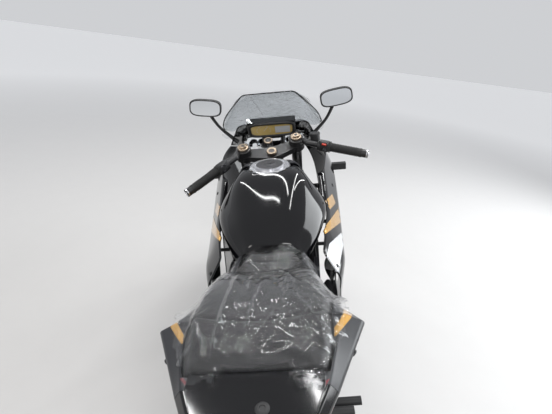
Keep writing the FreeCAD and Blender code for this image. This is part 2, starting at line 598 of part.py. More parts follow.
FAIRING_ROWS = [
    (905, [(22, 830, 8), (48, 842, 8), (52, 872, 8), (24, 892, 8)]),
    (820, [(60, 712, 20), (118, 742, 20), (150, 850, 25), (80, 950, 20)]),
    (690, [(90, 610, 25), (186, 680, 30), (232, 825, 40), (140, 990, 25)]),
    (540, [(120, 420, 30), (222, 600, 40), (252, 810, 45), (180, 990, 30)]),
    (400, [(120, 160, 30), (224, 360, 60), (250, 780, 50), (190, 930, 30)]),
    (200, [(105, 135, 30), (206, 330, 60), (240, 740, 50), (188, 850, 30)]),
    (0, [(90, 140, 30), (186, 330, 60), (226, 725, 50), (170, 822, 30)]),
    (-150, [(80, 170, 25), (160, 340, 50), (194, 725, 40), (130, 815, 25)]),
]

TAIL_FRONT_ROWS = [
    (-120, [(96, 640, 10), (128, 760, 20), (92, 812, 14)]),
    (-300, [(96, 730, 12), (130, 800, 18), (104, 858, 12)]),
    (-500, [(92, 810, 12), (196, 908, 10), (150, 932, 8)]),
]
TAIL_REAR_ROWS = [
    (-500, [(92, 810, 12), (196, 908, 10), (150, 932, 8)]),
    (-640, [(74, 850, 12), (128, 906, 12), (112, 930, 8)]),
    (-790, [(34, 892, 6), (50, 912, 6), (42, 926, 5)]),
]


def fairing_shell():
    return hull(FAIRING_ROWS).cut(hull(FAIRING_ROWS, PANEL))


def fairing_nodes(engine_body):
    shell = fairing_shell()
    half_gap = PANEL_GAP / 2
    side = side_plate([(640, 905, 20), (830, 840, 10), (640, 660, 60), (452, 560, 60), (448, 330, 60),
                       (330, 322, 30), (150, 330, 60), (30, 470, 40), (-60, 560, 30), (-146, 700, 20),
                       (-110, 800, 20), (300, 880, 60)], 30, 300)
    cockpit = plan_plate([(168, 700, 40), (168, 100, 60), (100, -160, 10), (-100, -160, 10), (-168, 100, 60),
                          (-168, 700, 40)], 700, 1100)
    vent = side_plate([(360, 640, 20), (250, 660, 20), (60, 560, 20), (180, 470, 20)], 30, 300)
    beside_tank = hull(TANK_ROWS, -PANEL / 2)
    right = shell.common(side).cut(cockpit).cut(vent).cut(beside_tank)
    belly = side_plate([(392, 318, 20), (400, 120, 20), (-20, 120, 20), (-40, 318, 20)], -300, 300)
    nose = side_plate([(640 + half_gap, 1040, 5), (960, 1040, 5), (960, 700, 5), (835, 840 + half_gap, 8),
                       (640 + half_gap, 908, 12)], -300, 300)
    lamps = front_lamp_box()
    nodes = {
        "side_fairing_right": solid_only(right),
        "side_fairing_left": solid_only(mirrored(right)),
        "belly_pan": solid_only(shell.common(belly).cut(engine_body)),
        "nose_cowl": solid_only(shell.common(nose).cut(lamps)),
    }
    return nodes


def front_lamp_box():
    lamp = side_plate([(960, 864, 5), (770, 902, 8), (788, 874, 8), (850, 836, 8), (960, 798, 5)], 26, 150)
    return Part.makeCompound([lamp, mirrored(lamp)])


def solid_only(shape):
    """The largest solid of a cut, so that slivers are left out."""
    return max(shape.Solids, key=lambda solid: solid.Volume)


def headlamps():
    lens = hull(FAIRING_ROWS, PANEL + SEAT_CLEARANCE).cut(hull(FAIRING_ROWS, PANEL + 14))
    box = side_plate([(960, 870, 5), (760, 910, 8), (780, 868, 8), (846, 830, 8), (960, 790, 5)], 20, 156)
    right = solid_only(lens.common(box))
    return both_sides(right)


SCREEN_ROWS = [
    (740, [(150, 860, 5), (206, 890, 30), (112, 978, 30)]),
    (620, [(160, 880, 5), (224, 985, 30), (146, 1082, 45)]),
    (500, [(120, 1000, 5), (172, 1082, 24), (104, 1152, 34)]),
]


def screen_region(trim=0.0):
    return side_plate([(742, 960 + trim, 0), (742, 1000, 0), (500 + trim, 1180, 0), (502 + trim, 1104 + trim, 5),
                       (580, 1010 + trim, 40), (690, 958 + trim, 5)], -260, 260)


def windscreen():
    """Clear screen that stands on the nose cowl and rises over the instrument."""
    skin = hull(SCREEN_ROWS).cut(hull(SCREEN_ROWS, 4))
    return solid_only(skin.common(screen_region()).cut(hull(FAIRING_ROWS, -SEAT_CLEARANCE)))


def screen_film():
    film = film_over(SCREEN_ROWS, screen_region(6.0))
    return solid_only(film.cut(hull(FAIRING_ROWS, -FILM_GAP)))


def fuel_tank():
    tank = hull(TANK_ROWS)
    well = rod(FILLER - Vector(0, 0, 14), FILLER + Vector(0, 0, 60), FILLER_RADIUS + 2)
    return tank.cut(well)


CAP_HINGE = FILLER + Vector(0, CAP_RADIUS - 1, -1)
CAP_PIN_RADIUS = 2.0


def filler_ring():
    base = FILLER - Vector(0, 0, 14 - SEAT_CLEARANCE)
    body = rod(base, base + Vector(0, 0, 8), FILLER_RADIUS)
    lug = block(-12, 12, CAP_HINGE.y - 7, CAP_HINGE.y + 7, base.z + 8, base.z + 16)
    pin = rod(CAP_HINGE - Vector(20, 0, 0), CAP_HINGE + Vector(20, 0, 0), CAP_PIN_RADIUS)
    return fused([body, lug, pin])


def filler_cap():
    top = FILLER - Vector(0, 0, 14 - SEAT_CLEARANCE) + Vector(0, 0, 8 + SEAT_CLEARANCE)
    lid = rod(top, top + Vector(0, 0, 8), CAP_RADIUS)
    lid = lid.cut(block(-14, 14, CAP_HINGE.y - 9, CAP_HINGE.y + 30, top.z - 1, top.z + 20))
    eyes = [rod(CAP_HINGE + Vector(side * 14, 0, 0), CAP_HINGE + Vector(side * 20, 0, 0), 4) for side in (-1, 1)]
    bore = rod(CAP_HINGE - Vector(30, 0, 0), CAP_HINGE + Vector(30, 0, 0), CAP_PIN_RADIUS + BEARING_CLEARANCE)
    return fused([lid] + eyes).cut(bore)


def tail_nodes():
    outer = fused([hull(TAIL_FRONT_ROWS, 0, True), hull(TAIL_REAR_ROWS, 0, True)])
    inner = fused([hull(TAIL_FRONT_ROWS, PANEL, True), hull(TAIL_REAR_ROWS, PANEL, True)])
    shell = outer.cut(inner)
    shell = shell.cut(hull(RIDER_SEAT_ROWS, -2)).cut(hull(PASSENGER_SEAT_ROWS, -2))
    shell = shell.cut(block(-86, 86, -560, -90, 600, 900)).cut(block(-70, 70, -560, -90, 600, 1000))
    band = tail_lamp_band()
    right = shell.common(block(60, 300, -640, -100, 600, 1000))
    centre = shell.common(block(-300, 300, -800, -640 - PANEL_GAP, 600, 1000)).cut(band)
    lamp_wall = outer.cut(fused([hull(TAIL_FRONT_ROWS, 10, True), hull(TAIL_REAR_ROWS, 10, True)]))
    lamp = lamp_wall.common(tail_lamp_band(SEAT_CLEARANCE))
    return {
        "tail_lamp": solid_only(lamp),
        "tail_cowl_right": solid_only(right),
        "tail_cowl_left": solid_only(mirrored(right)),
        "tail_centre_panel": solid_only(centre),
    }


RIDER_SEAT_ROWS = [
    (-118, [(50, 764, 10), (76, 790, 14), (56, 826, 14)]),
    (-200, [(90, 762, 8), (128, 782, 12), (98, 812, 14)]),
    (-300, [(92, 772, 8), (128, 796, 12), (104, 822, 14)]),
]

PASSENGER_SEAT_ROWS = [
    (-306, [(80, 836, 10), (118, 862, 12), (94, 892, 14)]),
    (-450, [(90, 862, 12), (148, 900, 16), (118, 936, 18)]),
    (-618, [(80, 890, 10), (126, 916, 12), (100, 942, 12)]),
]


def rider_seat():
    return hull(RIDER_SEAT_ROWS)


def passenger_seat():
    return hull(PASSENGER_SEAT_ROWS)


def film_over(rows, keep):
    """Sheet of clear film that lies over a lofted body, within a region."""
    skin = hull(rows, -FILM_GAP - FILM_THICKNESS).cut(hull(rows, -FILM_GAP))
    return solid_only(skin.common(keep))


def seat_film():
    sheets = []
    for rows in (RIDER_SEAT_ROWS, PASSENGER_SEAT_ROWS):
        edge = [(y, half[1][1] + 4, 0) for y, half in rows]
        above = side_plate(edge + [(rows[-1][0], 1000, 0), (rows[0][0], 1000, 0)], -200, 200)
        sheets.append(film_over(rows, above))
    return Part.makeCompound(sheets)


def tank_cover():
    """Dark cover on the front of the tank, from the filler to the steering head."""
    skin = hull(TANK_ROWS, -SEAT_CLEARANCE - 3).cut(hull(TANK_ROWS, -SEAT_CLEARANCE))
    region = plan_plate([(-90, 322, 0), (90, 322, 0), (118, 205, 20), (60, 168, 30), (-60, 168, 30),
                         (-118, 205, 20)], 880, 1000)
    cover = skin.common(region)
    return solid_only(cover.cut(rod(FILLER - Vector(0, 0, 60), FILLER + Vector(0, 0, 60), FILLER_RADIUS + 2)))


def tail_lamp_band(clearance=0.0):
    """Slot round the end of the tail, in which the lamp lies."""
    return side_plate([(-660 - clearance, 888 + clearance, 2), (-820, 900 + clearance, 2),
                       (-820, 916 - clearance, 2), (-660 - clearance, 908 - clearance, 2)], -300, 300)


PLATE_TOP = Vector(0, -968, 644)
PLATE_LOW = Vector(0, -1018, 563)


def plate_hole_centre():
    """Middle between the plate bracket's two holes, on its rear face, and that face's normal."""
    along = (PLATE_LOW - PLATE_TOP).normalize()
    normal = Vector(0, along.z, -along.y)
    return (PLATE_TOP + PLATE_LOW) * 0.5, normal


def rear_mudguard():
    body = side_plate([(-600, 846, 3), (-690, 846, 20), (-800, 850, 20), (-960, 640, 12), (-1010, 560, 3),
                       (PLATE_LOW.y, PLATE_LOW.z, 3), (PLATE_TOP.y, PLATE_TOP.z, 12), (-806, 860, 20),
                       (-690, 858, 20), (-600, 856, 3)], -30, 30)
    middle, normal = plate_hole_centre()
    for x in (-PLATE_HOLE_SPACING / 2, PLATE_HOLE_SPACING / 2):
        at = middle + Vector(x, 0, 0)
        body = body.cut(rod(at - normal * 30, at + normal * 30, PLATE_HOLE_RADIUS))
    return body


def rear_signals():
    right = fused([rod(Vector(30, -905, 716), Vector(125, -905, 716), 7),
                   block(120, 185, -918, -892, 702, 730)])
    return both_sides(right)


def front_signals():
    right = fused([rod(Vector(214, 640, 770), Vector(262, 640, 770), 8), block(255, 322, 628, 652, 755, 785)])
    return both_sides(right.cut(hull(FAIRING_ROWS)))


def instrument():
    display = block(-100, 100, 0, 24, 0, 95)
    display.rotate(Vector(0, 0, 0), Vector(1, 0, 0), 38)
    return moved(display, Vector(0, 560, 960))


def nose_bracket(display):
    """Stays from the head tube to the nose cowl's inner side, with posts under the instrument."""
    parts = [rod(Vector(-45, 640, 935), Vector(45, 640, 935), 9)]
    for side in (-1, 1):
        root, elbow = on_steering(0, 880, 20), Vector(28 * side, 500, 852)
        beam, nose = Vector(45 * side, 640, 935), Vector(45 * side, 705, 1010)
        parts += [rod(root, elbow, 8), rod(elbow, beam, 8), rod(beam, nose, 9)]
        parts.append(rod(Vector(40 * side, 590, 906), Vector(40 * side, 566, 985), 7))
    stays = fused(parts).cut(rod(on_steering(0, 700), on_steering(0, 1100), HEAD_TUBE_RADIUS))
    return solid_only(stays.common(hull(FAIRING_ROWS, PANEL)).cut(display))


def mirrors():
    stem = bent_bar([Vector(165, 660, 915), Vector(238, 655, 990), Vector(272, 625, 1070)], 8)
    head = side_plate([(-18, -34, 12), (18, -40, 12), (22, 40, 14), (-14, 38, 12)], -75, 75)
    head.rotate(Vector(0, 0, 0), Vector(0, 1, 0), -8)
    head = moved(head, Vector(280, 625, 1090))
    return both_sides(solid_only(fused([stem, head]).cut(hull(FAIRING_ROWS))))


def footrests():
    plate_out = FRAME_PLATE_X + FRAME_PLATE_THICKNESS
    hanger = side_plate([(-160, 470, 12), (-215, 480, 12), (-275, 350, 14), (-262, 318, 14), (-210, 330, 12)],
                        plate_out + SEAT_CLEARANCE, plate_out + 12)
    peg = rod(Vector(plate_out + 10, -248, 336), Vector(plate_out + 104, -248, 340), 13)
    heel = side_plate([(-200, 440, 10), (-215, 470, 8), (-300, 400, 12), (-270, 352, 12)], plate_out + 4, plate_out + 7)
    return both_sides(fused([hanger, peg, heel]))


def passenger_footrests(seat_frame):
    hanger = side_plate([(-330, 720, 8), (-365, 735, 8), (-412, 560, 10), (-402, 480, 9), (-380, 480, 9),
                         (-384, 560, 40)], 90, 102)
    peg = rod(Vector(98, -390, 496), Vector(192, -390, 500), 12)
    boss = rod(Vector(62, -372, 706), Vector(94, -372, 706), 12)
    return both_sides(solid_only(fused([hanger, peg, boss]).cut(seat_frame)))


def foot_levers(rest_bars):
    plate_out = FRAME_PLATE_X + FRAME_PLATE_THICKNESS
    pedal = bent_bar([Vector(plate_out + 22, -236, 318), Vector(plate_out + 24, -120, 300),
                      Vector(plate_out + 40, -70, 318), Vector(plate_out + 74, -70, 318)], 6)
    boss = rod(Vector(plate_out + 12, -236, 318), Vector(plate_out + 24, -236, 318), 9)
    return both_sides(fused([pedal, boss]).cut(rest_bars))


def rear_hugger(arms):
    reach = REAR_TYRE_RADIUS + 12
    crown = REAR_TYRE_WIDTH / 2 + 8
    profile = outline([(Vector(x, 0, z), 2) for x, z in
                       ((-crown, reach - 58), (-crown, reach - 24), (-30, reach + 6), (30, reach + 6),
                        (crown, reach - 24), (crown, reach - 58), (crown - 5, reach - 58),
                        (crown - 5, reach - 28), (28, reach), (-28, reach), (-crown + 5, reach - 28),
                        (-crown + 5, reach - 58))])
    guard = Part.Face(profile).revolve(Vector(0, 0, 0), Vector(1, 0, 0), 62)
    guard.rotate(Vector(0, 0, 0), Vector(1, 0, 0), -72)
    tabs = [block(84, 124, -455, -430, 386, 402), block(-124, -84, -455, -430, 386, 402)]
    return solid_only(fused([moved(guard, REAR_AXLE)] + tabs).cut(arms))


def rear_caliper():
    body = block(REAR_DISC_X - 20, REAR_DISC_X + 28, -34, 30, 62, 124)
    body = body.cut(block(REAR_DISC_X - 6, REAR_DISC_X + 6, -50, 50, 40, REAR_DISC_RADIUS + 5))
    eye = ring(Vector(REAR_DISC_X + 29, 0, 0), Vector(SWINGARM_INNER - SEAT_CLEARANCE, 0, 0), 26, 16 + SEAT_CLEARANCE)
    arm = block(REAR_DISC_X + 24, REAR_DISC_X + 34, -22, 22, 20, 100)
    arm = arm.cut(rod(Vector(0, 0, 0), Vector(200, 0, 0), 16 + SEAT_CLEARANCE))
    body = fused([body, arm])
    body.rotate(Vector(0, 0, 0), Vector(1, 0, 0), -42)
    return moved(fused([body, eye]), REAR_AXLE)


def knee_panels(frame):
    right = side_plate([(-66, 610, 12), (-30, 738, 10), (-108, 746, 10), (-150, 610, 12)], 124, 136)
    return both_sides(solid_only(right.cut(frame)))


def to_ground():
    """Lean to the left and pitch until both tyres touch the ground; the steering is already turned."""
    pitch = 0.0
    for _ in range(8):
        turn = Rotation(Vector(1, 0, 0), pitch).multiply(Rotation(Vector(0, 1, 0), -LEAN))
        lows = []
        for centre, axle, radius, width in (
                (turned_point(FRONT_AXLE), STEER_TURN.multVec(Vector(1, 0, 0)), FRONT_TYRE_RADIUS, FRONT_TYRE_WIDTH),
                (REAR_AXLE, Vector(1, 0, 0), REAR_TYRE_RADIUS, REAR_TYRE_WIDTH)):
            crown = width / 2 + CROWN_SPARE
            tilt = turn.multVec(axle).z
            reach = (radius - crown) * math.sqrt(1 - tilt ** 2) + crown
            lows.append(turn.multVec(centre).z - reach)
        pitch += math.degrees((lows[1] - lows[0]) / WHEELBASE)
    return Placement(Vector(0, 0, -lows[1]), turn)


STEER_TURN = Rotation(STEER_UP, STEER_AT_REST)


def turned_point(point):
    return STEER_GROUND + STEER_TURN.multVec(point - STEER_GROUND)


def stand_axis(settle):
    """Pivot axis that swings the leg from the ground to its folded place, and the leg's far end."""
    pad_top = settle.inverse().multVec(STAND_FOOT + Vector(0, 0, 12))
    leg = (pad_top - STAND_PIVOT).normalize()
    return leg.cross(STAND_FOLDED).normalize(), pad_top


def side_stand(settle):
    axis, pad_top = stand_axis(settle)
    back = settle.inverse()
    leg = rod(STAND_PIVOT, pad_top, 11)
    hub = ring(STAND_PIVOT - axis * 9, STAND_PIVOT + axis * 9, 20, STAND_PIN_RADIUS + BEARING_CLEARANCE)
    leg = leg.cut(rod(STAND_PIVOT - axis * 20, STAND_PIVOT + axis * 20, 18))
    pad = rod(STAND_FOOT, STAND_FOOT + Vector(0, 0, 10), 24)
    pad.Placement = back.multiply(pad.Placement)
    middle = STAND_PIVOT + (pad_top - STAND_PIVOT) * 0.6
    tang = rod(middle, middle + Vector(-34, -8, 6), 5)
    return fused([leg, hub, pad, tang])


def stand_bracket(settle):
    axis, pad_top = stand_axis(settle)
    side = -axis if axis.x > 0 else axis
    lug = rod(STAND_PIVOT - side * 26, STAND_PIVOT - side * (9 + SEAT_CLEARANCE), 17)
    pin = rod(STAND_PIVOT - side * 20, STAND_PIVOT + side * 12, STAND_PIN_RADIUS)
    head = rod(STAND_PIVOT + side * (9 + SEAT_CLEARANCE), STAND_PIVOT + side * 16, 12)
    return fused([lug, pin, head])


def build():
    settle = to_ground()
    turn = Placement(STEER_GROUND - STEER_TURN.multVec(STEER_GROUND), STEER_TURN)
    front = dict(steering_nodes())
    front.update(front_wheel_nodes())
    frame = fused([main_frame(), stand_bracket(settle)])
    block_of_engine = engine().cut(frame)
    seat_frame = subframe(frame)
    rests = Part.makeCompound([footrests(), passenger_footrests(seat_frame)])
    display = instrument()
    arms = swingarm()
    pipes = exhaust(block_of_engine)
    rest = {
        "main_frame": frame, "subframe": seat_frame, "engine": block_of_engine,
        "drive_chain": chain(), "swingarm": arms,
        "rear_axles": Part.makeCompound([rear_axle(), pivot_axle()]),
        "shock_absorber": shock_absorber(frame, arms), "radiator": radiator(block_of_engine), "exhaust_pipes": pipes,
        "silencer": silencer(pipes), "fuel_tank": fuel_tank(), "filler_ring": filler_ring(),
        "filler_cap": filler_cap(), "headlamps": headlamps(), "windscreen": windscreen(),
        "rider_seat": rider_seat(), "passenger_seat": passenger_seat(),
        "rear_mudguard": rear_mudguard(), "indicators": Part.makeCompound([rear_signals(), front_signals()]),
        "instrument": display, "nose_bracket": nose_bracket(display), "mirrors": mirrors(), "footrests": rests,
        "foot_levers": foot_levers(rests), "rear_hugger": rear_hugger(arms),
        "rear_caliper": rear_caliper(), "knee_panels": knee_panels(frame), "side_stand": side_stand(settle),
        "seat_film": seat_film(), "screen_film": screen_film(),
        "tank_cover": tank_cover(),
    }
    rest.update(fairing_nodes(block_of_engine))
    rest.update(tail_nodes())
    rest["rear_mudguard"] = rest["rear_mudguard"].cut(rest["tail_centre_panel"])
    rest["fuel_tank"] = rest["fuel_tank"].cut(frame)
    rest.update(rear_wheel_nodes())
    nodes = {}
    for name, shape in front.items():
        shape.Placement = settle.multiply(turn).multiply(shape.Placement)
        nodes[name] = shape
    for name, shape in rest.items():
        shape.Placement = settle.multiply(shape.Placement)
        nodes[name] = shape
    return nodes, settle, turn


nodes, settle, turn = build()
corners = [shape.optimalBoundingBox() for shape in nodes.values()]
origin = Vector((min(c.XMin for c in corners) + max(c.XMax for c in corners)) / 2,
                (min(c.YMin for c in corners) + max(c.YMax for c in corners)) / 2, 0)
place = Placement(-origin, Rotation())
os.makedirs("parts", exist_ok=True)
for name, shape in nodes.items():
    shape.Placement = place.multiply(shape.Placement)
    shape.exportStep(f"parts/{name}.step")
    print(name, "valid" if shape.isValid() else "INVALID", len(shape.Solids), round(shape.Volume / 1000))

# Joint axes and mounts of the finished part: a point and a direction each
axis, pad_top = stand_axis(settle)
plate_at, plate_normal = plate_hole_centre()
for name, point, direction, matrix in (
        ("steering", STEER_GROUND + STEER_UP * UPPER_YOKE_LEVEL, STEER_UP, settle),
        ("front_wheel", FRONT_AXLE, Vector(1, 0, 0), settle.multiply(turn)),
        ("rear_wheel", REAR_AXLE, Vector(1, 0, 0), settle),
        ("side_stand", STAND_PIVOT, axis, settle),
        ("filler_cap", CAP_HINGE, Vector(-1, 0, 0), settle),
        ("spool_right", Vector(142 - SPOOL_DEPTH / 2, SPOOL_Y, SPOOL_Z), Vector(1, 0, 0), settle),
        ("spool_left", Vector(SPOOL_DEPTH / 2 - 142, SPOOL_Y, SPOOL_Z), Vector(-1, 0, 0), settle),
        ("plate_holes", plate_at, plate_normal, settle)):
    whole = place.multiply(matrix)
    at, way = whole.multVec(point), whole.Rotation.multVec(direction)
    print("place", name, *[round(value, 6) for value in (*at, *way)])
folded = math.degrees((pad_top - STAND_PIVOT).getAngle(STAND_FOLDED))
print("stand folds by", round(folded, 1))
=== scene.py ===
"""Looks of a faired sport motorcycle that leans on its side stand, with clear film on its seats and screen."""
import json
import math

import bmesh
import bpy
import numpy as np
from mathutils import Matrix, Vector, noise
from mathutils.bvhtree import BVHTree


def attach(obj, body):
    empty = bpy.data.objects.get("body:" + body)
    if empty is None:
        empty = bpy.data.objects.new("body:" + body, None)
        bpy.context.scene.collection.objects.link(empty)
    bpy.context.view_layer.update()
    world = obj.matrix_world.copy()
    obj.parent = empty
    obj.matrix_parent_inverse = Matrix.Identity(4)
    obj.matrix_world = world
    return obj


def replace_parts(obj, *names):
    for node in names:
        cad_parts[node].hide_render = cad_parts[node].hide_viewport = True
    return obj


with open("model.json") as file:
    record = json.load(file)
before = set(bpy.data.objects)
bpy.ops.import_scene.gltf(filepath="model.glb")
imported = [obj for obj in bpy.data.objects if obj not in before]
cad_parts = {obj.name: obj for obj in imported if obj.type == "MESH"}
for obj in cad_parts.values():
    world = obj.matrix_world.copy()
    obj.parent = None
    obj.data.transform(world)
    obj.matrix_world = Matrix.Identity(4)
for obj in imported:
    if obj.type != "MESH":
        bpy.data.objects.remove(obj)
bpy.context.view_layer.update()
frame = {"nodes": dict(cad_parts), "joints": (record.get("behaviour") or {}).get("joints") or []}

nodes = frame["nodes"]
joints = {joint["name"]: joint for joint in frame["joints"]}

# Sizes of the machine, in millimetres, in its own upright frame: X to the rider's right, Y forward, Z up
RAKE = 24.0
WHEEL_AXLE = {"front": (702.5, 300.0), "rear": (-702.5, 312.0)}
TYRE = {"front": (300.0, 120.0, 89.0), "rear": (312.0, 160.0, 114.0)}
RIM_SEAT = 216.0
CHAIN_X = -100.0
CHAIN_RADII = {"rear": 103.5, "front": 43.5}
CHAIN_CENTRES = {"rear": (-702.5, 312.0), "front": (-85.0, 395.0)}
CHAIN_PITCH = 15.9
STEM_FOOT = Vector((0.0, 800.5, 0.0))
FORK_OFFSET = 32.5

# Camera that matches the photograph: place in metres, turns in degrees
CAMERA_PLACE = (-0.0218, -1.0009, 1.4019)
CAMERA_YAW, CAMERA_PITCH, CAMERA_ROLL = 2.58, 27.03, 7.85
CAMERA_LENS = 24.47
SENSOR_WIDTH = 36.0
PHOTO_SIZE = (552.0, 414.0)
FOCAL = CAMERA_LENS / SENSOR_WIDTH * PHOTO_SIZE[0]

# Places on the machine
BAR_TIP = Vector((338.0, 252.0, 906.0))
BAR_ALONG = (BAR_TIP - Vector((118.0, 372.0, 968.0))).normalized()
FORK_HALF_SPACING = 105
FORK_TOP, YOKE_LEVEL = 1058, 1022
LOCK_AHEAD = 72.5
DIAL_PLACE, DIAL_TILT = (560, 960), math.radians(38.0)
FILLER = (0, 178)
CLUTCH_COVER, GENERATOR_COVER = (60, 345), (165, 335)
SHOCK_TOP, SHOCK_FOOT = Vector((0, -130, 580)), Vector((0, -300, 410))
SILENCER_START, SILENCER_END = Vector((172, -205, 221)), Vector((216, -560, 330))


def machine_frame():
    """Rigid place of the leaning machine, from its rear wheel's axis and its steering axis."""
    side = Vector(joints["rear_wheel_spin"]["axis"]).normalized()
    head = Vector(joints["steering"]["axis"]).normalized()
    across = side.cross(head)
    rake = math.radians(RAKE)
    ahead = -math.sin(rake) * head - math.cos(rake) * across
    up = math.cos(rake) * head - math.sin(rake) * across
    turn = Matrix((side, ahead, up)).transposed()
    rear = Vector((0.0, *WHEEL_AXLE["rear"])) * 0.001
    place = Vector(joints["rear_wheel_spin"]["pos_m"]) - turn @ rear
    return Matrix.Translation(place) @ turn.to_4x4() @ Matrix.Scale(0.001, 4)


def steered_frame():
    """The same for what turns with the handlebars."""
    side = Vector(joints["rear_wheel_spin"]["axis"])
    head = Vector(joints["steering"]["axis"]).normalized()
    wheel = Vector(joints["front_wheel_spin"]["axis"])
    angle = math.atan2(side.cross(wheel).dot(head), side.dot(wheel) - side.dot(head) * wheel.dot(head))
    pivot = Vector(joints["steering"]["pos_m"])
    swing = Matrix.Translation(pivot) @ Matrix.Rotation(angle, 4, head) @ Matrix.Translation(-pivot)
    return swing @ MACHINE


MACHINE = machine_frame()
STEERED = steered_frame()


def on_steering(x, level, ahead=0.0):
    rake = math.radians(RAKE)
    up = Vector((0.0, -math.sin(rake), math.cos(rake)))
    forward = Vector((0.0, math.cos(rake), math.sin(rake)))
    return STEM_FOOT + Vector((x, 0.0, 0.0)) + up * level + forward * ahead


# Materials

def feed(tree, taker, inputs):
    """Sets a shader node's inputs to values or joins them to other nodes' outputs."""
    for socket, value in inputs.items():
        if isinstance(value, bpy.types.NodeSocket):
            tree.links.new(value, taker.inputs[socket])
        else:
            taker.inputs[socket].default_value = value


def shader_node(tree, kind, inputs, **settings):
    made = tree.nodes.new("ShaderNode" + kind)
    for name, value in settings.items():
        setattr(made, name, value)
    feed(tree, made, inputs)
    return made


def object_place(tree):
    return next(item for item in tree.nodes if item.type == "TEX_COORD").outputs["Object"]


def material(name, colour, rough, metal=0.0, coat=0.0, grain=300.0, bump=0.05, spread=0.25, depth=0.0004,
             sheen=0.0, specular=0.5):
    """Surface whose colour and roughness vary with a fine grain, over a slower cloudiness."""
    mat = bpy.data.materials.new(name)
    mat.use_nodes = True
    tree = mat.node_tree
    place = shader_node(tree, "TexCoord", {}).outputs["Object"]
    cloud = shader_node(tree, "TexNoise", {"Vector": place, "Scale": 9.0, "Detail": 4.0})
    fine = shader_node(tree, "TexNoise", {"Vector": place, "Scale": grain, "Detail": 3.0}).outputs["Fac"]
    dark, light = (*[c * (1 - spread) for c in colour], 1), (*[min(1.0, c * (1 + spread)) for c in colour], 1)
    tint = shader_node(tree, "Mix", {"Factor": cloud.outputs["Fac"], "A": dark, "B": light}, data_type="RGBA")
    level = shader_node(tree, "MapRange", {"Value": fine, "To Min": rough * 0.8, "To Max": min(1.0, rough * 1.25)})
    relief = shader_node(tree, "Bump", {"Height": fine, "Strength": bump, "Distance": depth})
    feed(tree, tree.nodes["Principled BSDF"],
         {"Metallic": metal, "Coat Weight": coat, "Coat Roughness": 0.03, "Sheen Weight": sheen,
          "Specular IOR Level": specular, "Base Color": tint.outputs["Result"],
          "Roughness": level.outputs["Result"], "Normal": relief.outputs["Normal"]})
    return mat


def clear(name, colour, rough, ior=1.45, bump=0.0, scale=60.0):
    """Clear solid, thin or thick."""
    mat = material(name, colour, rough, grain=scale, bump=bump, spread=0.04, depth=0.001)
    feed(mat.node_tree, mat.node_tree.nodes["Principled BSDF"], {"Transmission Weight": 1.0, "IOR": ior})
    return mat


def brushed(name, colour, rough, stretch):
    """Metal with fine scratches that run one way."""
    mat = material(name, colour, rough, metal=1.0, grain=260.0, bump=0.12, spread=0.12)
    tree = mat.node_tree
    run = shader_node(tree, "Mapping", {"Vector": object_place(tree), "Scale": stretch})
    fine = [item for item in tree.nodes if item.type == "TEX_NOISE"][1]
    feed(tree, fine, {"Vector": run.outputs["Vector"]})
    return mat


paint = material("gloss_black", (0.004, 0.004, 0.005), 0.07, grain=900.0, bump=0.015, spread=0.3, specular=0.42)
satin = material("satin_grey", (0.022, 0.023, 0.027), 0.34, grain=700.0, bump=0.12, specular=0.4)
grained = material("grained_black", (0.014, 0.014, 0.015), 0.55, grain=900.0, bump=0.5)
powder = material("powder_black", (0.013, 0.013, 0.014), 0.36, grain=1200.0, bump=0.35)
cast = material("cast_dark", (0.070, 0.070, 0.074), 0.46, metal=0.9, grain=800.0, bump=0.5)
bright = brushed("bright_alloy", (0.62, 0.62, 0.64), 0.27, (1.0, 5.0, 1.0))
steel = brushed("satin_steel", (0.42, 0.42, 0.43), 0.3, (6.0, 1.0, 1.0))
pipe_steel = brushed("heated_steel", (0.30, 0.26, 0.22), 0.33, (1.0, 1.0, 4.0))
rubber = material("tyre_rubber", (0.013, 0.013, 0.013), 0.62, grain=500.0, bump=0.35, spread=0.3)
grip_rubber = material("grip_rubber", (0.010, 0.010, 0.010), 0.7, grain=1500.0, bump=0.4)
vinyl = material("seat_vinyl", (0.011, 0.011, 0.012), 0.44, grain=650.0, bump=0.7, sheen=0.15)
gold = material("gold_trim", (0.62, 0.34, 0.07), 0.24, metal=0.35, coat=0.8, grain=600.0, bump=0.05, spread=0.15)
white_trim = material("white_trim", (0.75, 0.76, 0.78), 0.2, coat=0.8, grain=600.0, bump=0.03, spread=0.05)
screen_glass = clear("screen_glass", (0.80, 0.83, 0.85), 0.03)
lamp_glass = clear("lamp_glass", (0.93, 0.95, 0.97), 0.02)
film_clear = clear("film_clear", (0.97, 0.98, 0.99), 0.08, ior=1.33, bump=0.3, scale=70.0)
red_lens = material("red_lens", (0.15, 0.003, 0.012), 0.3, coat=0.25, grain=400.0, bump=0.03)
dark_glass = material("dark_glass", (0.004, 0.004, 0.005), 0.05, coat=1.0, grain=400.0, bump=0.01)
mirror_glass = material("mirror_glass", (0.72, 0.74, 0.76), 0.03, metal=1.0, grain=300.0, bump=0.01, spread=0.03)
amber = material("amber_lens", (0.75, 0.26, 0.02), 0.15, coat=0.8, grain=300.0, bump=0.05)
bronze = brushed("bronze_alloy", (0.30, 0.24, 0.18), 0.3, (1.0, 3.0, 1.0))
# instrument face: its pale gold colour is a painted reflection of gold and white light on the display glass
display_painted_reflection = material("display_gold_painted_reflection", (0.85, 0.60, 0.22), 0.25, coat=0.8, grain=500.0, bump=0.02, spread=0.25)
# near-black plugs in the brake discs' drill holes: painted shade in place of open holes
hole_painted_shade = material("hole_painted_shade", (0.004, 0.004, 0.004), 0.8, grain=400.0, bump=0.05)
silencer_black = material("silencer_black", (0.02, 0.02, 0.021), 0.33, metal=0.5, grain=900.0, bump=0.2)
red_button = material("red_button", (0.55, 0.035, 0.015), 0.35, grain=500.0, bump=0.1)

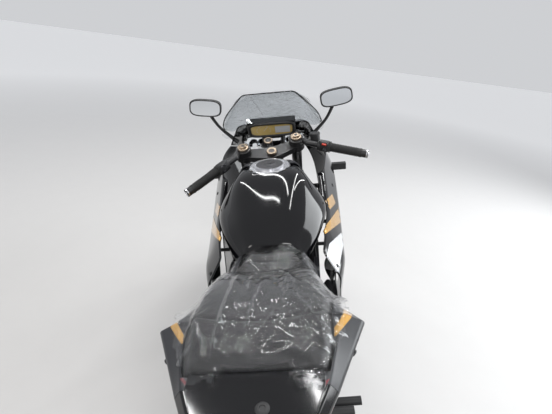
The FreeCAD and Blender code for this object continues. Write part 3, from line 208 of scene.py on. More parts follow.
FINISH = {
    paint: ["fuel_tank", "tail_centre_panel", "front_mudguard", "nose_cowl", "side_fairing_left",
            "side_fairing_right"],
    satin: ["tail_cowl_left", "tail_cowl_right", "belly_pan", "knee_panels", "tank_cover"],
    grained: ["rear_mudguard", "rear_hugger", "mirrors", "hand_controls", "nose_bracket", "ignition_lock",
              "indicators", "footrests"],
    powder: ["main_frame", "subframe", "side_stand", "swingarm", "fork_yokes", "handlebars", "front_rim", "rear_rim",
             "front_calipers", "rear_caliper", "shock_absorber"],
    cast: ["engine", "radiator"],
    bright: ["filler_ring", "filler_cap", "foot_levers", "fork_lowers"],
    steel: ["front_brake_discs", "rear_brake_disc", "front_axle", "rear_axles", "drive_chain", "rear_sprocket",
            "fork_tubes"],
    pipe_steel: ["exhaust_pipes"],
    silencer_black: ["silencer"],
    rubber: ["front_tyre", "rear_tyre"],
    grip_rubber: ["hand_grips"],
    vinyl: ["rider_seat", "passenger_seat"],
    screen_glass: ["windscreen"],
    lamp_glass: ["headlamps"],
    red_lens: ["tail_lamp"],
    dark_glass: ["instrument"],
    film_clear: ["seat_film", "screen_film"],
}
for finish, names in FINISH.items():
    for name in names:
        nodes[name].data.materials.clear()
        nodes[name].data.materials.append(finish)


# Shapes

def shown(name, data):
    """Object in the scene."""
    thing = bpy.data.objects.new(name, data)
    bpy.context.scene.collection.objects.link(thing)
    return thing


def mesh_data(name, mesh):
    data = bpy.data.meshes.new(name)
    mesh.to_mesh(data)
    mesh.free()
    return data


def piece(name, mesh, body, finish, matrix=MACHINE, smooth=40.0):
    """Object from a bmesh in machine millimetres, riding on a body."""
    bmesh.ops.transform(mesh, matrix=matrix, verts=mesh.verts)
    bmesh.ops.recalc_face_normals(mesh, faces=mesh.faces)
    data = mesh_data(name, mesh)
    thing = shown(name, data)
    data.materials.append(finish)
    if smooth:
        data.shade_smooth()
        data.set_sharp_from_angle(angle=math.radians(smooth))
    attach(thing, body)
    return thing


def basis(direction):
    """Two unit vectors square to a direction."""
    direction = Vector(direction).normalized()
    helper = Vector((0, 0, 1)) if abs(direction.z) < 0.9 else Vector((1, 0, 0))
    first = direction.cross(helper).normalized()
    return first, direction.cross(first)


def loft(mesh, rings, closed=True, caps=True):
    """Skin between rings of points."""
    loops = [[mesh.verts.new(point) for point in ring] for ring in rings]
    count = len(loops[0])
    for one, two in zip(loops, loops[1:]):
        for index in range(count if closed else count - 1):
            after = (index + 1) % count
            mesh.faces.new((one[index], one[after], two[after], two[index]))
    if caps:
        mesh.faces.new(loops[0])
        mesh.faces.new(list(reversed(loops[-1])))
    return loops


def turned(mesh, start, direction, rows, sides=32, caps=True):
    """Body turned about an axis from rows of distance along it and radius."""
    along = Vector(direction).normalized()
    first, second = basis(along)
    rings = []
    for run, radius in rows:
        rings.append(circle(Vector(start) + along * run, first, second, radius, sides))
    loft(mesh, rings, caps=caps)


def curve_run(a, b, c, d, steps):
    """Points from b towards c, on a smooth curve through all four."""
    for step in range(steps):
        t = step / steps
        yield 0.5 * ((2 * b) + (c - a) * t + (2 * a - 5 * b + 4 * c - d) * t * t
                     + (3 * b - a - 3 * c + d) * t ** 3)


def smooth_path(points, steps=8):
    """Points along a smooth curve through the given ones."""
    points = [Vector(p) for p in points]
    ends = [points[0] * 2 - points[1]] + points + [points[-1] * 2 - points[-2]]
    path = []
    for four in zip(ends, ends[1:], ends[2:], ends[3:]):
        path += curve_run(*four, steps)
    return path + [points[-1]]


def round_curve(points, steps):
    """The same for a closed ring."""
    ring = points[-2:] + points + points[:2]
    path = []
    for four in list(zip(ring, ring[1:], ring[2:], ring[3:]))[1:len(points) + 1]:
        path += curve_run(*four, steps)
    return path


def swept(mesh, points, radius, sides=12, flat=1.0, steps=8):
    """Round or flattened bar along a smooth path; the radius may be a list, one for each point."""
    path = smooth_path(points, steps)
    rings = []
    for index, point in enumerate(path):
        along = (path[min(index + 1, len(path) - 1)] - path[max(index - 1, 0)]).normalized()
        first, second = basis(along)
        size = radius
        if isinstance(radius, (list, tuple)):
            spot = index / (len(path) - 1) * (len(radius) - 1)
            low = min(int(spot), len(radius) - 2)
            size = radius[low] + (radius[low + 1] - radius[low]) * (spot - low)
        rings.append([point + (first * math.cos(a) + second * math.sin(a) * flat) * size
                      for a in (2 * math.pi * k / sides for k in range(sides))])
    loft(mesh, rings)


def slab(mesh, outline, normal, thickness):
    """Plate from an outline of points, thickened along a normal."""
    lift = Vector(normal).normalized() * thickness
    loft(mesh, [[Vector(p) for p in outline], [Vector(p) + lift for p in outline]])


def bolt(mesh, at, direction, radius=5.0, height=4.0):
    """Button-headed socket screw."""
    turned(mesh, at, direction, [(-1.0, radius), (height * 0.45, radius), (height * 0.8, radius * 0.85),
                                 (height, radius * 0.55), (height, radius * 0.5), (height * 0.35, radius * 0.5)], 18)


def bevelled(thing, width):
    bevel = thing.modifiers.new("edges", "BEVEL")
    bevel.width = width
    bevel.segments = 2
    bevel.limit_method = "ANGLE"


def circle(centre, first, second, radius, count):
    """Points round a centre, from one square direction towards the other."""
    turns = (2 * math.pi * k / count for k in range(count))
    return [centre + (first * math.cos(turn) + second * math.sin(turn)) * radius for turn in turns]


# Camera, floor and light

BACKGROUND = (0.62, 0.63, 0.65, 1)


def camera():
    yaw, pitch, roll = (math.radians(v) for v in (CAMERA_YAW, CAMERA_PITCH, CAMERA_ROLL))
    ahead = Vector((math.sin(yaw) * math.cos(pitch), math.cos(yaw) * math.cos(pitch), -math.sin(pitch)))
    level = Vector((math.cos(yaw), -math.sin(yaw), 0.0))
    over = level.cross(ahead)
    right = level * math.cos(roll) + over * math.sin(roll)
    up = over * math.cos(roll) - level * math.sin(roll)
    data = bpy.data.cameras.new("camera")
    data.lens = CAMERA_LENS
    data.sensor_width = SENSOR_WIDTH
    thing = shown("camera", data)
    turn = Matrix((right, up, -ahead)).transposed().to_4x4()
    thing.matrix_world = Matrix.Translation(CAMERA_PLACE) @ turn
    bpy.context.scene.camera = thing


def seen_ray(tree):
    """1 for the rays of the camera, of reflections and of what shows through glass."""
    path = shader_node(tree, "LightPath", {}).outputs
    both = shader_node(tree, "Math", {0: path["Is Camera Ray"], 1: path["Is Transmission Ray"]}, operation="MAXIMUM")
    return shader_node(tree, "Math", {0: both.outputs[0], 1: path["Is Glossy Ray"]}, operation="MAXIMUM").outputs[0]


def floor():
    """Pale floor that grows as light as the background far away, for the rays that are seen."""
    mesh = bmesh.new()
    bmesh.ops.create_grid(mesh, x_segments=1, y_segments=1, size=14.0)
    thing = shown("floor", mesh_data("floor", mesh))
    pale = material("pale_floor", (0.62, 0.61, 0.60), 0.55, grain=40.0, bump=0.02, spread=0.02)
    tree = pale.node_tree
    far = shader_node(tree, "VectorMath", {0: object_place(tree)}, operation="LENGTH")
    reach = shader_node(tree, "MapRange", {"Value": far.outputs["Value"], "From Min": 1.5, "From Max": 7.0,
                                           "To Min": 0.06, "To Max": 0.8})
    glow = shader_node(tree, "Math", {0: seen_ray(tree), 1: reach.outputs["Result"]}, operation="MULTIPLY")
    feed(tree, tree.nodes["Principled BSDF"], {"Emission Color": BACKGROUND, "Emission Strength": glow.outputs[0]})
    thing.data.materials.append(pale)


def area_light(name, place, target, size, power, colour=(1, 1, 1)):
    data = bpy.data.lights.new(name, "AREA")
    data.shape = "RECTANGLE"
    data.size, data.size_y = size
    data.energy = power
    data.color = colour
    thing = shown(name, data)
    thing.location = place
    thing.rotation_euler = (Vector(target) - Vector(place)).to_track_quat("-Z", "Y").to_euler()


def studio():
    area_light("window", (3.4, 1.0, 2.0), (0, 0, 0.7), (2.6, 2.2), 110.0, (0.95, 0.98, 1.0))
    area_light("rear_sky", (0.6, -3.6, 3.4), (0, -0.2, 0.7), (1.8, 1.2), 80.0)
    area_light("fill", (-2.6, -2.0, 2.2), (0, 0, 0.6), (1.2, 1.2), 34.0, (1.0, 0.97, 0.93))
    for index, (x, y) in enumerate(((-1.5, 1.0), (-0.5, 1.5), (0.5, 1.0), (1.4, 1.5))):
        area_light(f"strip_{index + 1}", (x, y, 3.2), (x * 0.4, y - 1.0, 0.8), (0.05, 2.8), 22.0)
    world = bpy.data.worlds.new("studio")
    world.use_nodes = True
    tree = world.node_tree
    shade = tree.nodes["Background"]
    feed(tree, shade, {"Color": (0.80, 0.84, 0.9, 1), "Strength": 0.22})
    pale = shader_node(tree, "Background", {"Color": BACKGROUND})
    mix = shader_node(tree, "MixShader", {"Fac": seen_ray(tree), 1: shade.outputs[0], 2: pale.outputs[0]})
    feed(tree, tree.nodes["World Output"], {"Surface": mix.outputs["Shader"]})
    bpy.context.scene.world = world
    bpy.context.scene.view_settings.view_transform = "Standard"


# Wheels

def tread_tyre(name, which, body):
    """Tyre with a round crown and slanted grooves."""
    radius, width, rim_width = TYRE[which]
    y, z = WHEEL_AXLE[which]
    crown = width / 2 + 4.0
    shoulder = math.asin(width / 2 / crown)
    foot = rim_width / 2 - 5.3
    around, across = 360, 45
    groove_pairs, groove_share, groove_depth = 24, 0.16, 4.0
    profile = [(-foot, RIM_SEAT + 0.5), (-foot, RIM_SEAT + 15.0)]
    for step in range(across + 1):
        angle = -shoulder + 2 * shoulder * step / across
        profile.append((crown * math.sin(angle), radius - crown + crown * math.cos(angle)))
    profile += [(foot, RIM_SEAT + 15.0), (foot, RIM_SEAT + 0.5)]
    mesh = bmesh.new()
    rings = []
    for k in range(around):
        turn = 2 * math.pi * k / around
        ring = []
        for x, r in profile:
            share = abs(x) / (width / 2)
            pattern = (k / around * groove_pairs + share * 1.6 + (0.5 if x > 0 else 0.0)) % 1.0
            if 0.12 < share < 0.82 and r > radius - 55 and pattern < groove_share:
                r -= groove_depth
            ring.append(Vector((x, y + r * math.sin(turn), z + r * math.cos(turn))))
        rings.append(ring)
    loops = loft(mesh, rings, closed=False, caps=False)
    for index in range(len(profile) - 1):
        mesh.faces.new((loops[-1][index], loops[-1][index + 1], loops[0][index + 1], loops[0][index]))
    for a, b in zip(loops, loops[1:] + loops[:1]):
        mesh.faces.new((a[0], b[0], b[-1], a[-1]))
    matrix = STEERED if which == "front" else MACHINE
    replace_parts(piece(name, mesh, body, rubber, matrix, smooth=28.0), which + "_tyre")


def chain_path():
    """Points of the chain's loop, a pitch apart."""
    (ry, rz), (fy, fz) = CHAIN_CENTRES["rear"], CHAIN_CENTRES["front"]
    big, small = CHAIN_RADII["rear"], CHAIN_RADII["front"]
    gap = math.hypot(fy - ry, fz - rz)
    slope = math.atan2(fz - rz, fy - ry)
    lean = math.asin((big - small) / gap)
    straight = gap * math.cos(lean)
    top = slope + math.pi / 2 - lean
    bottom = slope - math.pi / 2 + lean
    wrap_small = small * (math.pi - 2 * lean)
    wrap_big = big * (math.pi + 2 * lean)
    total = 2 * straight + wrap_small + wrap_big
    count = 2 * round(total / CHAIN_PITCH / 2)

    def on_rear(angle):
        return Vector((ry + big * math.cos(angle), rz + big * math.sin(angle)))

    def on_front(angle):
        return Vector((fy + small * math.cos(angle), fz + small * math.sin(angle)))
    path = []
    for index in range(count):
        run = total * index / count
        if run < straight:
            spot = on_rear(top).lerp(on_front(top), run / straight)
        elif run < straight + wrap_small:
            spot = on_front(top - (run - straight) / small)
        elif run < 2 * straight + wrap_small:
            spot = on_front(bottom).lerp(on_rear(bottom), (run - straight - wrap_small) / straight)
        else:
            spot = on_rear(bottom - (run - 2 * straight - wrap_small) / big)
        path.append(spot)
    return path


def chain():
    plate, link_radius = 1.4, 6.4
    path = chain_path()
    mesh = bmesh.new()
    for index, spot in enumerate(path):
        after = path[(index + 1) % len(path)]
        along = (after - spot).normalized()
        across = Vector((-along.y, along.x))
        reach = 7.6 if index % 2 else 5.4
        for x in (CHAIN_X - reach, CHAIN_X + reach - plate):
            outline = []
            for centre, begin in ((spot, 90), (after, -90)):
                for step in range(7):
                    angle = math.radians(begin + step * 30)
                    bend = centre + (along * math.cos(angle) + across * math.sin(angle)) * link_radius
                    outline.append(Vector((x, bend.x, bend.y)))
            slab(mesh, outline, (1, 0, 0), plate)
        turned(mesh, (CHAIN_X - 8.6, spot.x, spot.y), (1, 0, 0), [(0, 2.4), (17.2, 2.4)], 10)
        turned(mesh, (CHAIN_X - 3.6, spot.x, spot.y), (1, 0, 0), [(0, 4.8), (7.2, 4.8)], 12)
    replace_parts(piece("chain_links", mesh, "chassis", steel), "drive_chain")


# Places on the machine's own pieces

def pixel_ray(x, y):
    """Direction from the camera through a place in the photograph's frame."""
    turn = bpy.context.scene.camera.matrix_world.to_3x3()
    sideways, up = x - PHOTO_SIZE[0] / 2, PHOTO_SIZE[1] / 2 - y
    return (turn @ Vector((sideways / FOCAL, up / FOCAL, -1.0))).normalized()


def surface(things):
    """Search tree of several objects' faces."""
    vertices, faces = [], []
    for thing in things:
        offset = len(vertices)
        vertices += [vertex.co.copy() for vertex in thing.data.vertices]
        faces += [[offset + index for index in polygon.vertices] for polygon in thing.data.polygons]
    return BVHTree.FromPolygons(vertices, faces)


def stripe(name, outline, carriers, finish, pair=True):
    """Coloured stripe on body panels; its outline is placed in the photograph's frame, and repeated on the left."""
    lift, longest_edge, torn_edge = 0.0006, 1.6, 30.0
    tree = surface([nodes[carrier] for carrier in carriers])
    mesh = bmesh.new()
    face = mesh.faces.new([mesh.verts.new((x, y, 0)) for x, y in outline])
    bmesh.ops.triangulate(mesh, faces=[face])
    for _ in range(5):
        long_edges = [edge for edge in mesh.edges if edge.calc_length() > longest_edge]
        if long_edges:
            bmesh.ops.subdivide_edges(mesh, edges=long_edges, cuts=1)
            bmesh.ops.triangulate(mesh, faces=mesh.faces[:])
    missed = []
    back = MACHINE.inverted()
    for vertex in mesh.verts:
        hit, normal, _, _ = tree.ray_cast(Vector(CAMERA_PLACE), pixel_ray(vertex.co.x, vertex.co.y))
        if hit is None:
            missed.append(vertex)
            continue
        if normal.dot(hit - Vector(CAMERA_PLACE)) > 0:
            normal = -normal
        vertex.co = back @ (hit + normal * lift)
    bmesh.ops.delete(mesh, geom=missed, context="VERTS")
    torn = [f for f in mesh.faces if max(edge.calc_length() for edge in f.edges) > torn_edge]
    bmesh.ops.delete(mesh, geom=torn, context="FACES")
    if pair:
        paired(mesh)
    piece(name, mesh, "chassis", finish)


def paired(mesh):
    """Adds the left side's copy of everything in a mesh."""
    made = bmesh.ops.duplicate(mesh, geom=mesh.verts[:] + mesh.edges[:] + mesh.faces[:])["geom"]
    copies = [item for item in made if isinstance(item, bmesh.types.BMVert)]
    for vertex in copies:
        vertex.co.x = -vertex.co.x
    bmesh.ops.reverse_faces(mesh, faces=[item for item in made if isinstance(item, bmesh.types.BMFace)])


def oval(centre, half_x, half_z, power=3.0, count=32):
    """Rounded rectangle in the XZ plane."""
    ring = []
    for k in range(count):
        angle = 2 * math.pi * k / count
        c, s = math.cos(angle), math.sin(angle)
        ring.append(Vector(centre) + Vector((math.copysign(abs(c) ** (2 / power), c) * half_x, 0,
                                             math.copysign(abs(s) ** (2 / power), s) * half_z)))
    return ring


def on_bar(back, ahead=0.0, up=0.0):
    """Point beside the right handlebar, from its tip."""
    return BAR_TIP - BAR_ALONG * back + Vector((0.0, ahead, up))


def on_panel(tree, start, direction):
    """Where a ray in the machine's frame meets a surface, with the normal there."""
    turn = MACHINE.to_3x3().normalized()
    hit, normal, _, _ = tree.ray_cast(MACHINE @ Vector(start), (turn @ Vector(direction)).normalized())
    if hit is None:
        return None
    way = turn.inverted() @ normal
    if way.dot(Vector(direction)) > 0:
        way = -way
    return MACHINE.inverted() @ hit, way


# Seats and films

def soft_seat(name, node, seams):
    """Foam seat: the plain solid swollen a little, with sewn channels across it."""
    most_swell, seam_depth, seam_width = 0.004, 0.0045, 3.4
    mesh = bmesh.new()
    mesh.from_mesh(nodes[node].data)
    bmesh.ops.remove_doubles(mesh, verts=mesh.verts, dist=1e-5)
    bmesh.ops.recalc_face_normals(mesh, faces=mesh.faces)
    thing = shown(name, mesh_data(name, mesh))
    remesh = thing.modifiers.new("even", "REMESH")
    remesh.mode = "VOXEL"
    remesh.voxel_size = 0.006
    thing.modifiers.new("ease", "SMOOTH").iterations = 8
    thing.data = apply_modifiers(thing)
    rest = [vertex.co.copy() for vertex in thing.data.vertices]
    cloth = thing.modifiers.new("cloth", "CLOTH")
    cloth.settings.use_pressure = True
    cloth.settings.uniform_pressure_force = 4.0
    cloth.settings.effector_weights.gravity = 0.0
    for step in range(1, 21):
        bpy.context.scene.frame_set(step)
    thing.data = apply_modifiers(thing)
    bpy.context.scene.frame_set(1)
    for vertex, start in zip(thing.data.vertices, rest):
        move = vertex.co - start
        if move.length > most_swell:
            vertex.co = start + move * (most_swell / move.length)
    fine = thing.modifiers.new("fine", "SUBSURF")
    fine.levels = fine.render_levels = 1
    thing.data = apply_modifiers(thing)
    back = MACHINE.inverted()
    normals = [vertex.normal.copy() for vertex in thing.data.vertices]
    for vertex, normal in zip(thing.data.vertices, normals):
        spot = back @ vertex.co
        sink = sum(math.exp(-((spot.y - row - bend * (spot.x / 100) ** 2) / seam_width) ** 2) for row, bend in seams)
        vertex.co = vertex.co - normal * (seam_depth * sink)
    thing.data.materials.clear()
    thing.data.materials.append(vinyl)
    thing.data.shade_smooth()
    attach(thing, "chassis")
    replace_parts(thing, node)
    return thing


def apply_modifiers(thing):
    bpy.context.view_layer.update()
    graph = bpy.context.evaluated_depsgraph_get()
    shaped = bpy.data.meshes.new_from_object(thing.evaluated_get(graph))
    thing.modifiers.clear()
    return shaped


def ridge(spot, size, seed):
    """Height of a crumpled sheet, with sharp ridges between dull facets."""
    shift = Vector((seed * 17.3, seed * 5.1, seed * 9.7))
    wander = Vector((noise.noise(spot / (size * 2.2) + shift), noise.noise(spot / (size * 2.2) - shift), 0.0))
    return 1.0 - 2.0 * abs(noise.noise((spot + wander * size * 0.9) / size + shift))


def inside(outline, u, v):
    odd = False
    for (u0, v0), (u1, v1) in zip(outline, outline[1:] + outline[:1]):
        if (v0 > v) != (v1 > v) and u < (u1 - u0) * (v - v0) / (v1 - v0) + u0:
            odd = not odd
    return odd


def crease_height(spot, lines):
    """Height of placed creases, each widest at its start, with a wandering crest."""
    rise = 0.0
    for start, end, width, height in lines:
        run = end - start
        share = min(1.0, max(0.0, (spot - start).dot(run) / run.length_squared))
        drift = 5.0 * noise.noise(Vector((spot.x / 26.0, spot.y / 26.0, height)))
        apart = (spot - start - run * share).length + drift
        rise += height * max(0.0, 1.0 - abs(apart) / (width * (1.0 - 0.55 * share)))
    return rise


def film_sheet(name, node, origin, across, along, drop, outline, supports, creases, folds, edge_folds):
    """Crumpled clear film: a grid dropped on what carries it, drawn tight over hollows, then creased."""
    step, lift, deepest, overhang, thickness = 3.0, 0.0016, 0.075, 7, 0.0004
    us, vs = [u for u, _ in outline], [v for _, v in outline]
    wide, high = int((max(us) - min(us)) / step) + 1, int((max(vs) - min(vs)) / step) + 1
    tree = surface(supports)
    turn = MACHINE.to_3x3().normalized()
    fall_way = (turn @ Vector(drop)).normalized()
    starts, limit = [], np.full((high, wide), np.nan)
    for j in range(high):
        line = []
        for i in range(wide):
            u, v = min(us) + i * step, min(vs) + j * step
            point = MACHINE @ (Vector(origin) + Vector(across) * u + Vector(along) * v)
            line.append(point)
            hit = tree.ray_cast(point, fall_way, 1.0)
            if hit[0] is not None:
                limit[j, i] = hit[3] - lift
        starts.append(line)
    middle = np.array([np.nanmin(line) if not np.all(np.isnan(line)) else np.nan for line in limit])
    carried = limit < middle[:, None] + deepest
    limit = np.where(carried, limit, np.nanmax(np.where(carried, limit, np.nan)) + 0.02)
    for _ in range(overhang):
        near = np.pad(carried, 1)
        carried = near[1:-1, 1:-1] | near[:-2, 1:-1] | near[2:, 1:-1] | near[1:-1, :-2] | near[1:-1, 2:]
    back, lines = MACHINE.inverted(), []
    for x0, y0, x1, y1, width, height in creases:
        ends = []
        for way in (pixel_ray(x0, y0), pixel_ray(x1, y1)):
            spot = tree.ray_cast(CAMERA_PLACE, way)[0]
            if spot is not None:
                gap = back @ spot - Vector(origin)
                ends.append(Vector((gap.dot(Vector(across)), gap.dot(Vector(along)))))
        if len(ends) == 2:
            lines.append((*ends, width, height))
    fall = limit.copy()
    for _ in range(90):
        wrapped = np.pad(fall, 1, mode="edge")
        mean = (wrapped[:-2, 1:-1] + wrapped[2:, 1:-1] + wrapped[1:-1, :-2] + wrapped[1:-1, 2:]) / 4
        fall = np.minimum(limit, mean)
    mesh = bmesh.new()
    grid = {}
    centre = Vector(((max(us) + min(us)) / 2, (max(vs) + min(vs)) / 2, 0))
    for j in range(high):
        for i in range(wide):
            u, v = min(us) + i * step, min(vs) + j * step
            rag = 7.0 * noise.noise(Vector((u / 22.0, v / 22.0, 3.0)))
            shrink = 1.0 + rag / 120.0
            if not carried[j, i] or not inside(outline, centre.x + (u - centre.x) * shrink,
                                               centre.y + (v - centre.y) * shrink):
                continue
            out = min(1.0, math.hypot((u - centre.x) / (max(us) - centre.x), (v - centre.y) / (max(vs) - centre.y)))
            rise = crease_height(Vector((u, v)), lines)
            for seed, (size, stretch, height) in enumerate(folds):
                rise += height * (0.5 + 0.5 * ridge(Vector((u, v / stretch, 0)), size, seed))
            for seed, (size, stretch, height) in enumerate(edge_folds):
                rise += out ** 2 * (0.7 + 0.5 * math.tanh(u / 60.0)) * height * (
                    0.5 + 0.5 * ridge(Vector((u, v / stretch, 9)), size, seed + 5))
            grid[i, j] = mesh.verts.new(starts[j][i] + fall_way * (fall[j, i] - rise * 0.001))
    for (i, j), corner in grid.items():
        loop = [corner, grid.get((i + 1, j)), grid.get((i + 1, j + 1)), grid.get((i, j + 1))]
        if all(loop):
            mesh.faces.new(loop)
    loose = [vertex for vertex in mesh.verts if not vertex.link_faces]
    bmesh.ops.delete(mesh, geom=loose, context="VERTS")
    bmesh.ops.solidify(mesh, geom=mesh.faces[:], thickness=thickness)
    thing = piece(name, mesh, "chassis", film_clear, Matrix.Identity(4), smooth=32.0)
    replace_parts(thing, node)


# Handlebars

def grips():
    mesh = bmesh.new()
    rows = [(0, 17), (0.5, 21), (4, 21), (5, 17)]
    for rib in range(17):
        rows += [(7.5 + rib * 6, 16.7), (10.5 + rib * 6, 16.7), (11.0 + rib * 6, 15.2), (13.0 + rib * 6, 15.2)]
    turned(mesh, on_bar(146), BAR_ALONG, rows + [(118, 16.7), (122, 16)], 36)
    paired(mesh)
    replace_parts(piece("ribbed_grips", mesh, "steering", grip_rubber, STEERED), "hand_grips")
    rings = bmesh.new()
    turned(rings, on_bar(7), BAR_ALONG, [(0, 15.1), (0.5, 15.8), (4.5, 15.8), (5, 15.1)], 36)
    turned(rings, on_bar(0), BAR_ALONG, [(-1, 9), (1.5, 9), (2.5, 8), (2.5, 5), (0.5, 4.5)], 24)
    paired(rings)
    piece("bar_end_rings", rings, "steering", bright, STEERED)


def lever(mesh, side):
    path = [on_bar(168, 34), on_bar(146, 44), on_bar(110, 50, -1), on_bar(72, 46, -4), on_bar(42, 43, -7)]
    path = [Vector((p.x * side, p.y, p.z)) for p in path]
    swept(mesh, path, [8.0, 7.5, 6.5, 6.0, 6.0], 16, 0.72)
    tip = path[-1]
    bmesh.ops.create_uvsphere(mesh, u_segments=18, v_segments=12, radius=8.0, matrix=Matrix.Translation(tip))


def hand_control_pieces():
    housings, levers, buttons, reds, caps = (bmesh.new() for _ in range(5))
    for side in (1, -1):
        def spot(back, ahead=0.0, up=0.0, side=side):
            point = on_bar(back, ahead, up)
            return Vector((point.x * side, point.y, point.z))
        along = Vector((BAR_ALONG.x * side, BAR_ALONG.y, BAR_ALONG.z))
        turned(housings, spot(191), along, [(0, 17), (2, 20.5), (14, 22), (16, 21), (18, 22), (40, 22), (43, 20)], 36)
        rings = []
        for back, grow in ((189, 0.86), (186, 1.0), (160, 1.0), (157, 0.86)):
            middle = spot(back, -10, 3)
            rings.append([middle + (Vector((0, 1, 0)) * p.x + Vector((0, 0, 1)) * p.z) * grow
                          for p in oval((0, 0, 0), 17, 19, 4.0, 28)])
        loft(housings, rings)
        turned(housings, spot(180, 0), along, [(0, 14), (0, 16.5), (13, 16.5), (13, 14)], 30)
        swept(housings, [spot(174, 12), spot(172, 22), spot(168, 34)], [11, 9, 9], 14)
        bolt(housings, spot(168, 34, 6), (0, 0, 1), 6, 6)
        lever(levers, side)
        if side > 0:
            swept(reds, [spot(181, -27, 12), spot(165, -27, 12)], 5.5, 14, 0.7)
            turned(buttons, spot(173, -22, -8), (0, -1, 0), [(0, 7), (6, 7), (7.5, 5.5)], 20)
            root = spot(188, 46, -6)
            turned(caps, root, (0, 0, 1), [(0, 15), (3, 18.5), (33, 19), (34, 20.5), (41, 20.5), (42.5, 19)], 36)
            for turn in (0.6, 3.7):
                at = root + Vector((math.cos(turn) * 14, math.sin(turn) * 14, 42))
                bolt(caps, at, (0, 0, 1), 3, 2)
            swept(housings, [spot(168, 34, 2), spot(180, 42, 2), root + Vector((0, 0, 12))], [9, 8, 8], 12)
        else:
            for back, up in ((182, 12), (168, 12), (175, -9)):
                swept(buttons, [spot(back + 4, -27, up), spot(back - 4, -27, up)], 4.2, 12, 0.7)
            swept(housings, [spot(182, 30, 4), spot(205, 40, 0), spot(228, 44, -12)], [5, 4, 3.5], 12)
    for name, mesh, slot, finish in (("switch_housings", housings, "black_plastic", grained),
                                     ("hand_levers", levers, "frame_paint", powder),
                                     ("switch_buttons", buttons, "black_plastic", satin),
                                     ("stop_switch", reds, "red_lens", red_button),
                                     ("brake_reservoir", caps, "black_plastic", grained)):
        thing = piece(name, mesh, "steering", finish, STEERED)
        if name in ("switch_housings", "hand_levers"):
            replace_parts(thing, "hand_controls")


def fork_tops():
    caps, dark = bmesh.new(), bmesh.new()
    up = on_steering(0, 1) - on_steering(0, 0)
    for side in (-1, 1):
        x = side * FORK_HALF_SPACING
        turned(caps, on_steering(x, FORK_TOP, FORK_OFFSET), up,
               [(-2, 20), (0, 20.8), (6, 20.8), (7.5, 19), (7.5, 15.5)], 36)
        turned(caps, on_steering(x, FORK_TOP + 6, FORK_OFFSET), up, [(0, 13), (6, 13), (7, 12)], 6)
        turned(dark, on_steering(x, FORK_TOP + 13, FORK_OFFSET), up, [(-1, 6), (0.4, 6)], 20)
        for level in (FORK_TOP - 15, FORK_TOP - 7):
            bolt(dark, on_steering(x + side * 24, level, FORK_OFFSET - 18), (side * 0.6, -0.8, 0.1), 5, 6)
        bolt(dark, on_steering(x - side * 22, YOKE_LEVEL, FORK_OFFSET - 28), (0, -1, 0), 5.5, 6)
    turned(caps, on_steering(0, YOKE_LEVEL + 24, 0), up, [(-8, 19.5), (-1, 19.5), (1, 18), (1, 12), (-3, 11)], 36)
    turned(caps, on_steering(0, YOKE_LEVEL + 15, LOCK_AHEAD), up,
           [(-4, 17.6), (1.5, 17.6), (3, 16), (3, 13), (1, 12.5)], 36)
    turned(dark, on_steering(0, YOKE_LEVEL + 16, LOCK_AHEAD), up, [(-1, 12.4), (1.2, 12.2)], 24)
    piece("fork_cap_rings", caps, "steering", bronze, STEERED)
    piece("yoke_bolts", dark, "steering", powder, STEERED)


def on_dial(x, y, z):
    """Point of the instrument: sideways, into it, and up its face."""
    lean, rise = math.cos(DIAL_TILT), math.sin(DIAL_TILT)
    return Vector((x, DIAL_PLACE[0] + y * lean - z * rise, DIAL_PLACE[1] + y * rise + z * lean))


def instrument_face():
    frame_mesh, face, marks, lamps = (bmesh.new() for _ in range(4))

    def ring(half_x, half_z, depth):
        return [on_dial(p.x, depth, p.z + 47.5) for p in oval((0, 0, 0), half_x, half_z, 5.0, 44)]

    def mark(corners, depth):
        marks.faces.new([marks.verts.new(on_dial(x, depth, z)) for x, z in corners])
    loft(frame_mesh, [ring(99, 46.5, 2), ring(99, 46.5, -4), ring(96, 44, -7), ring(88, 37, -7), ring(86, 35, -1)],
         caps=False)
    loft(face, [ring(87, 36, 1), ring(87, 36, -1.6)])
    for index in range(25):
        angle = math.radians(200 - index * 220 / 24)
        reach, size = 31.0, 5.5 if index % 4 == 0 else 3.0
        way = Vector((math.cos(angle), math.sin(angle)))
        side = Vector((-way.y, way.x)) * (0.9 if index % 4 == 0 else 0.5)
        mark([(-34 + way.x * r + side.x * s, 45 + way.y * r + side.y * s)
              for r, s in ((reach, -1), (reach, 1), (reach - size, 1), (reach - size, -1))], -2.2)
    mark([(-34 + x, 45 + z) for x, z in ((-1.2, -4), (1.2, -4), (17.4, 19.4), (15.8, 20.4))], -2.4)
    mark([(14, 24), (76, 24), (76, 66), (14, 66)], -2.2)
    normal = on_dial(0, -1, 0) - on_dial(0, 0, 0)
    for index in range(5):
        turned(lamps, on_dial(-28 + index * 14, -1, 8.5), normal, [(0, 2.6), (1.4, 2.4)], 14)
    piece("dial_bezel", frame_mesh, "chassis", grained)
    # the face carries the painted gold reflection
    piece("dial_face", face, "chassis", display_painted_reflection)
    piece("dial_marks", marks, "chassis", white_trim, smooth=None)
    piece("dial_lamps", lamps, "chassis", amber)


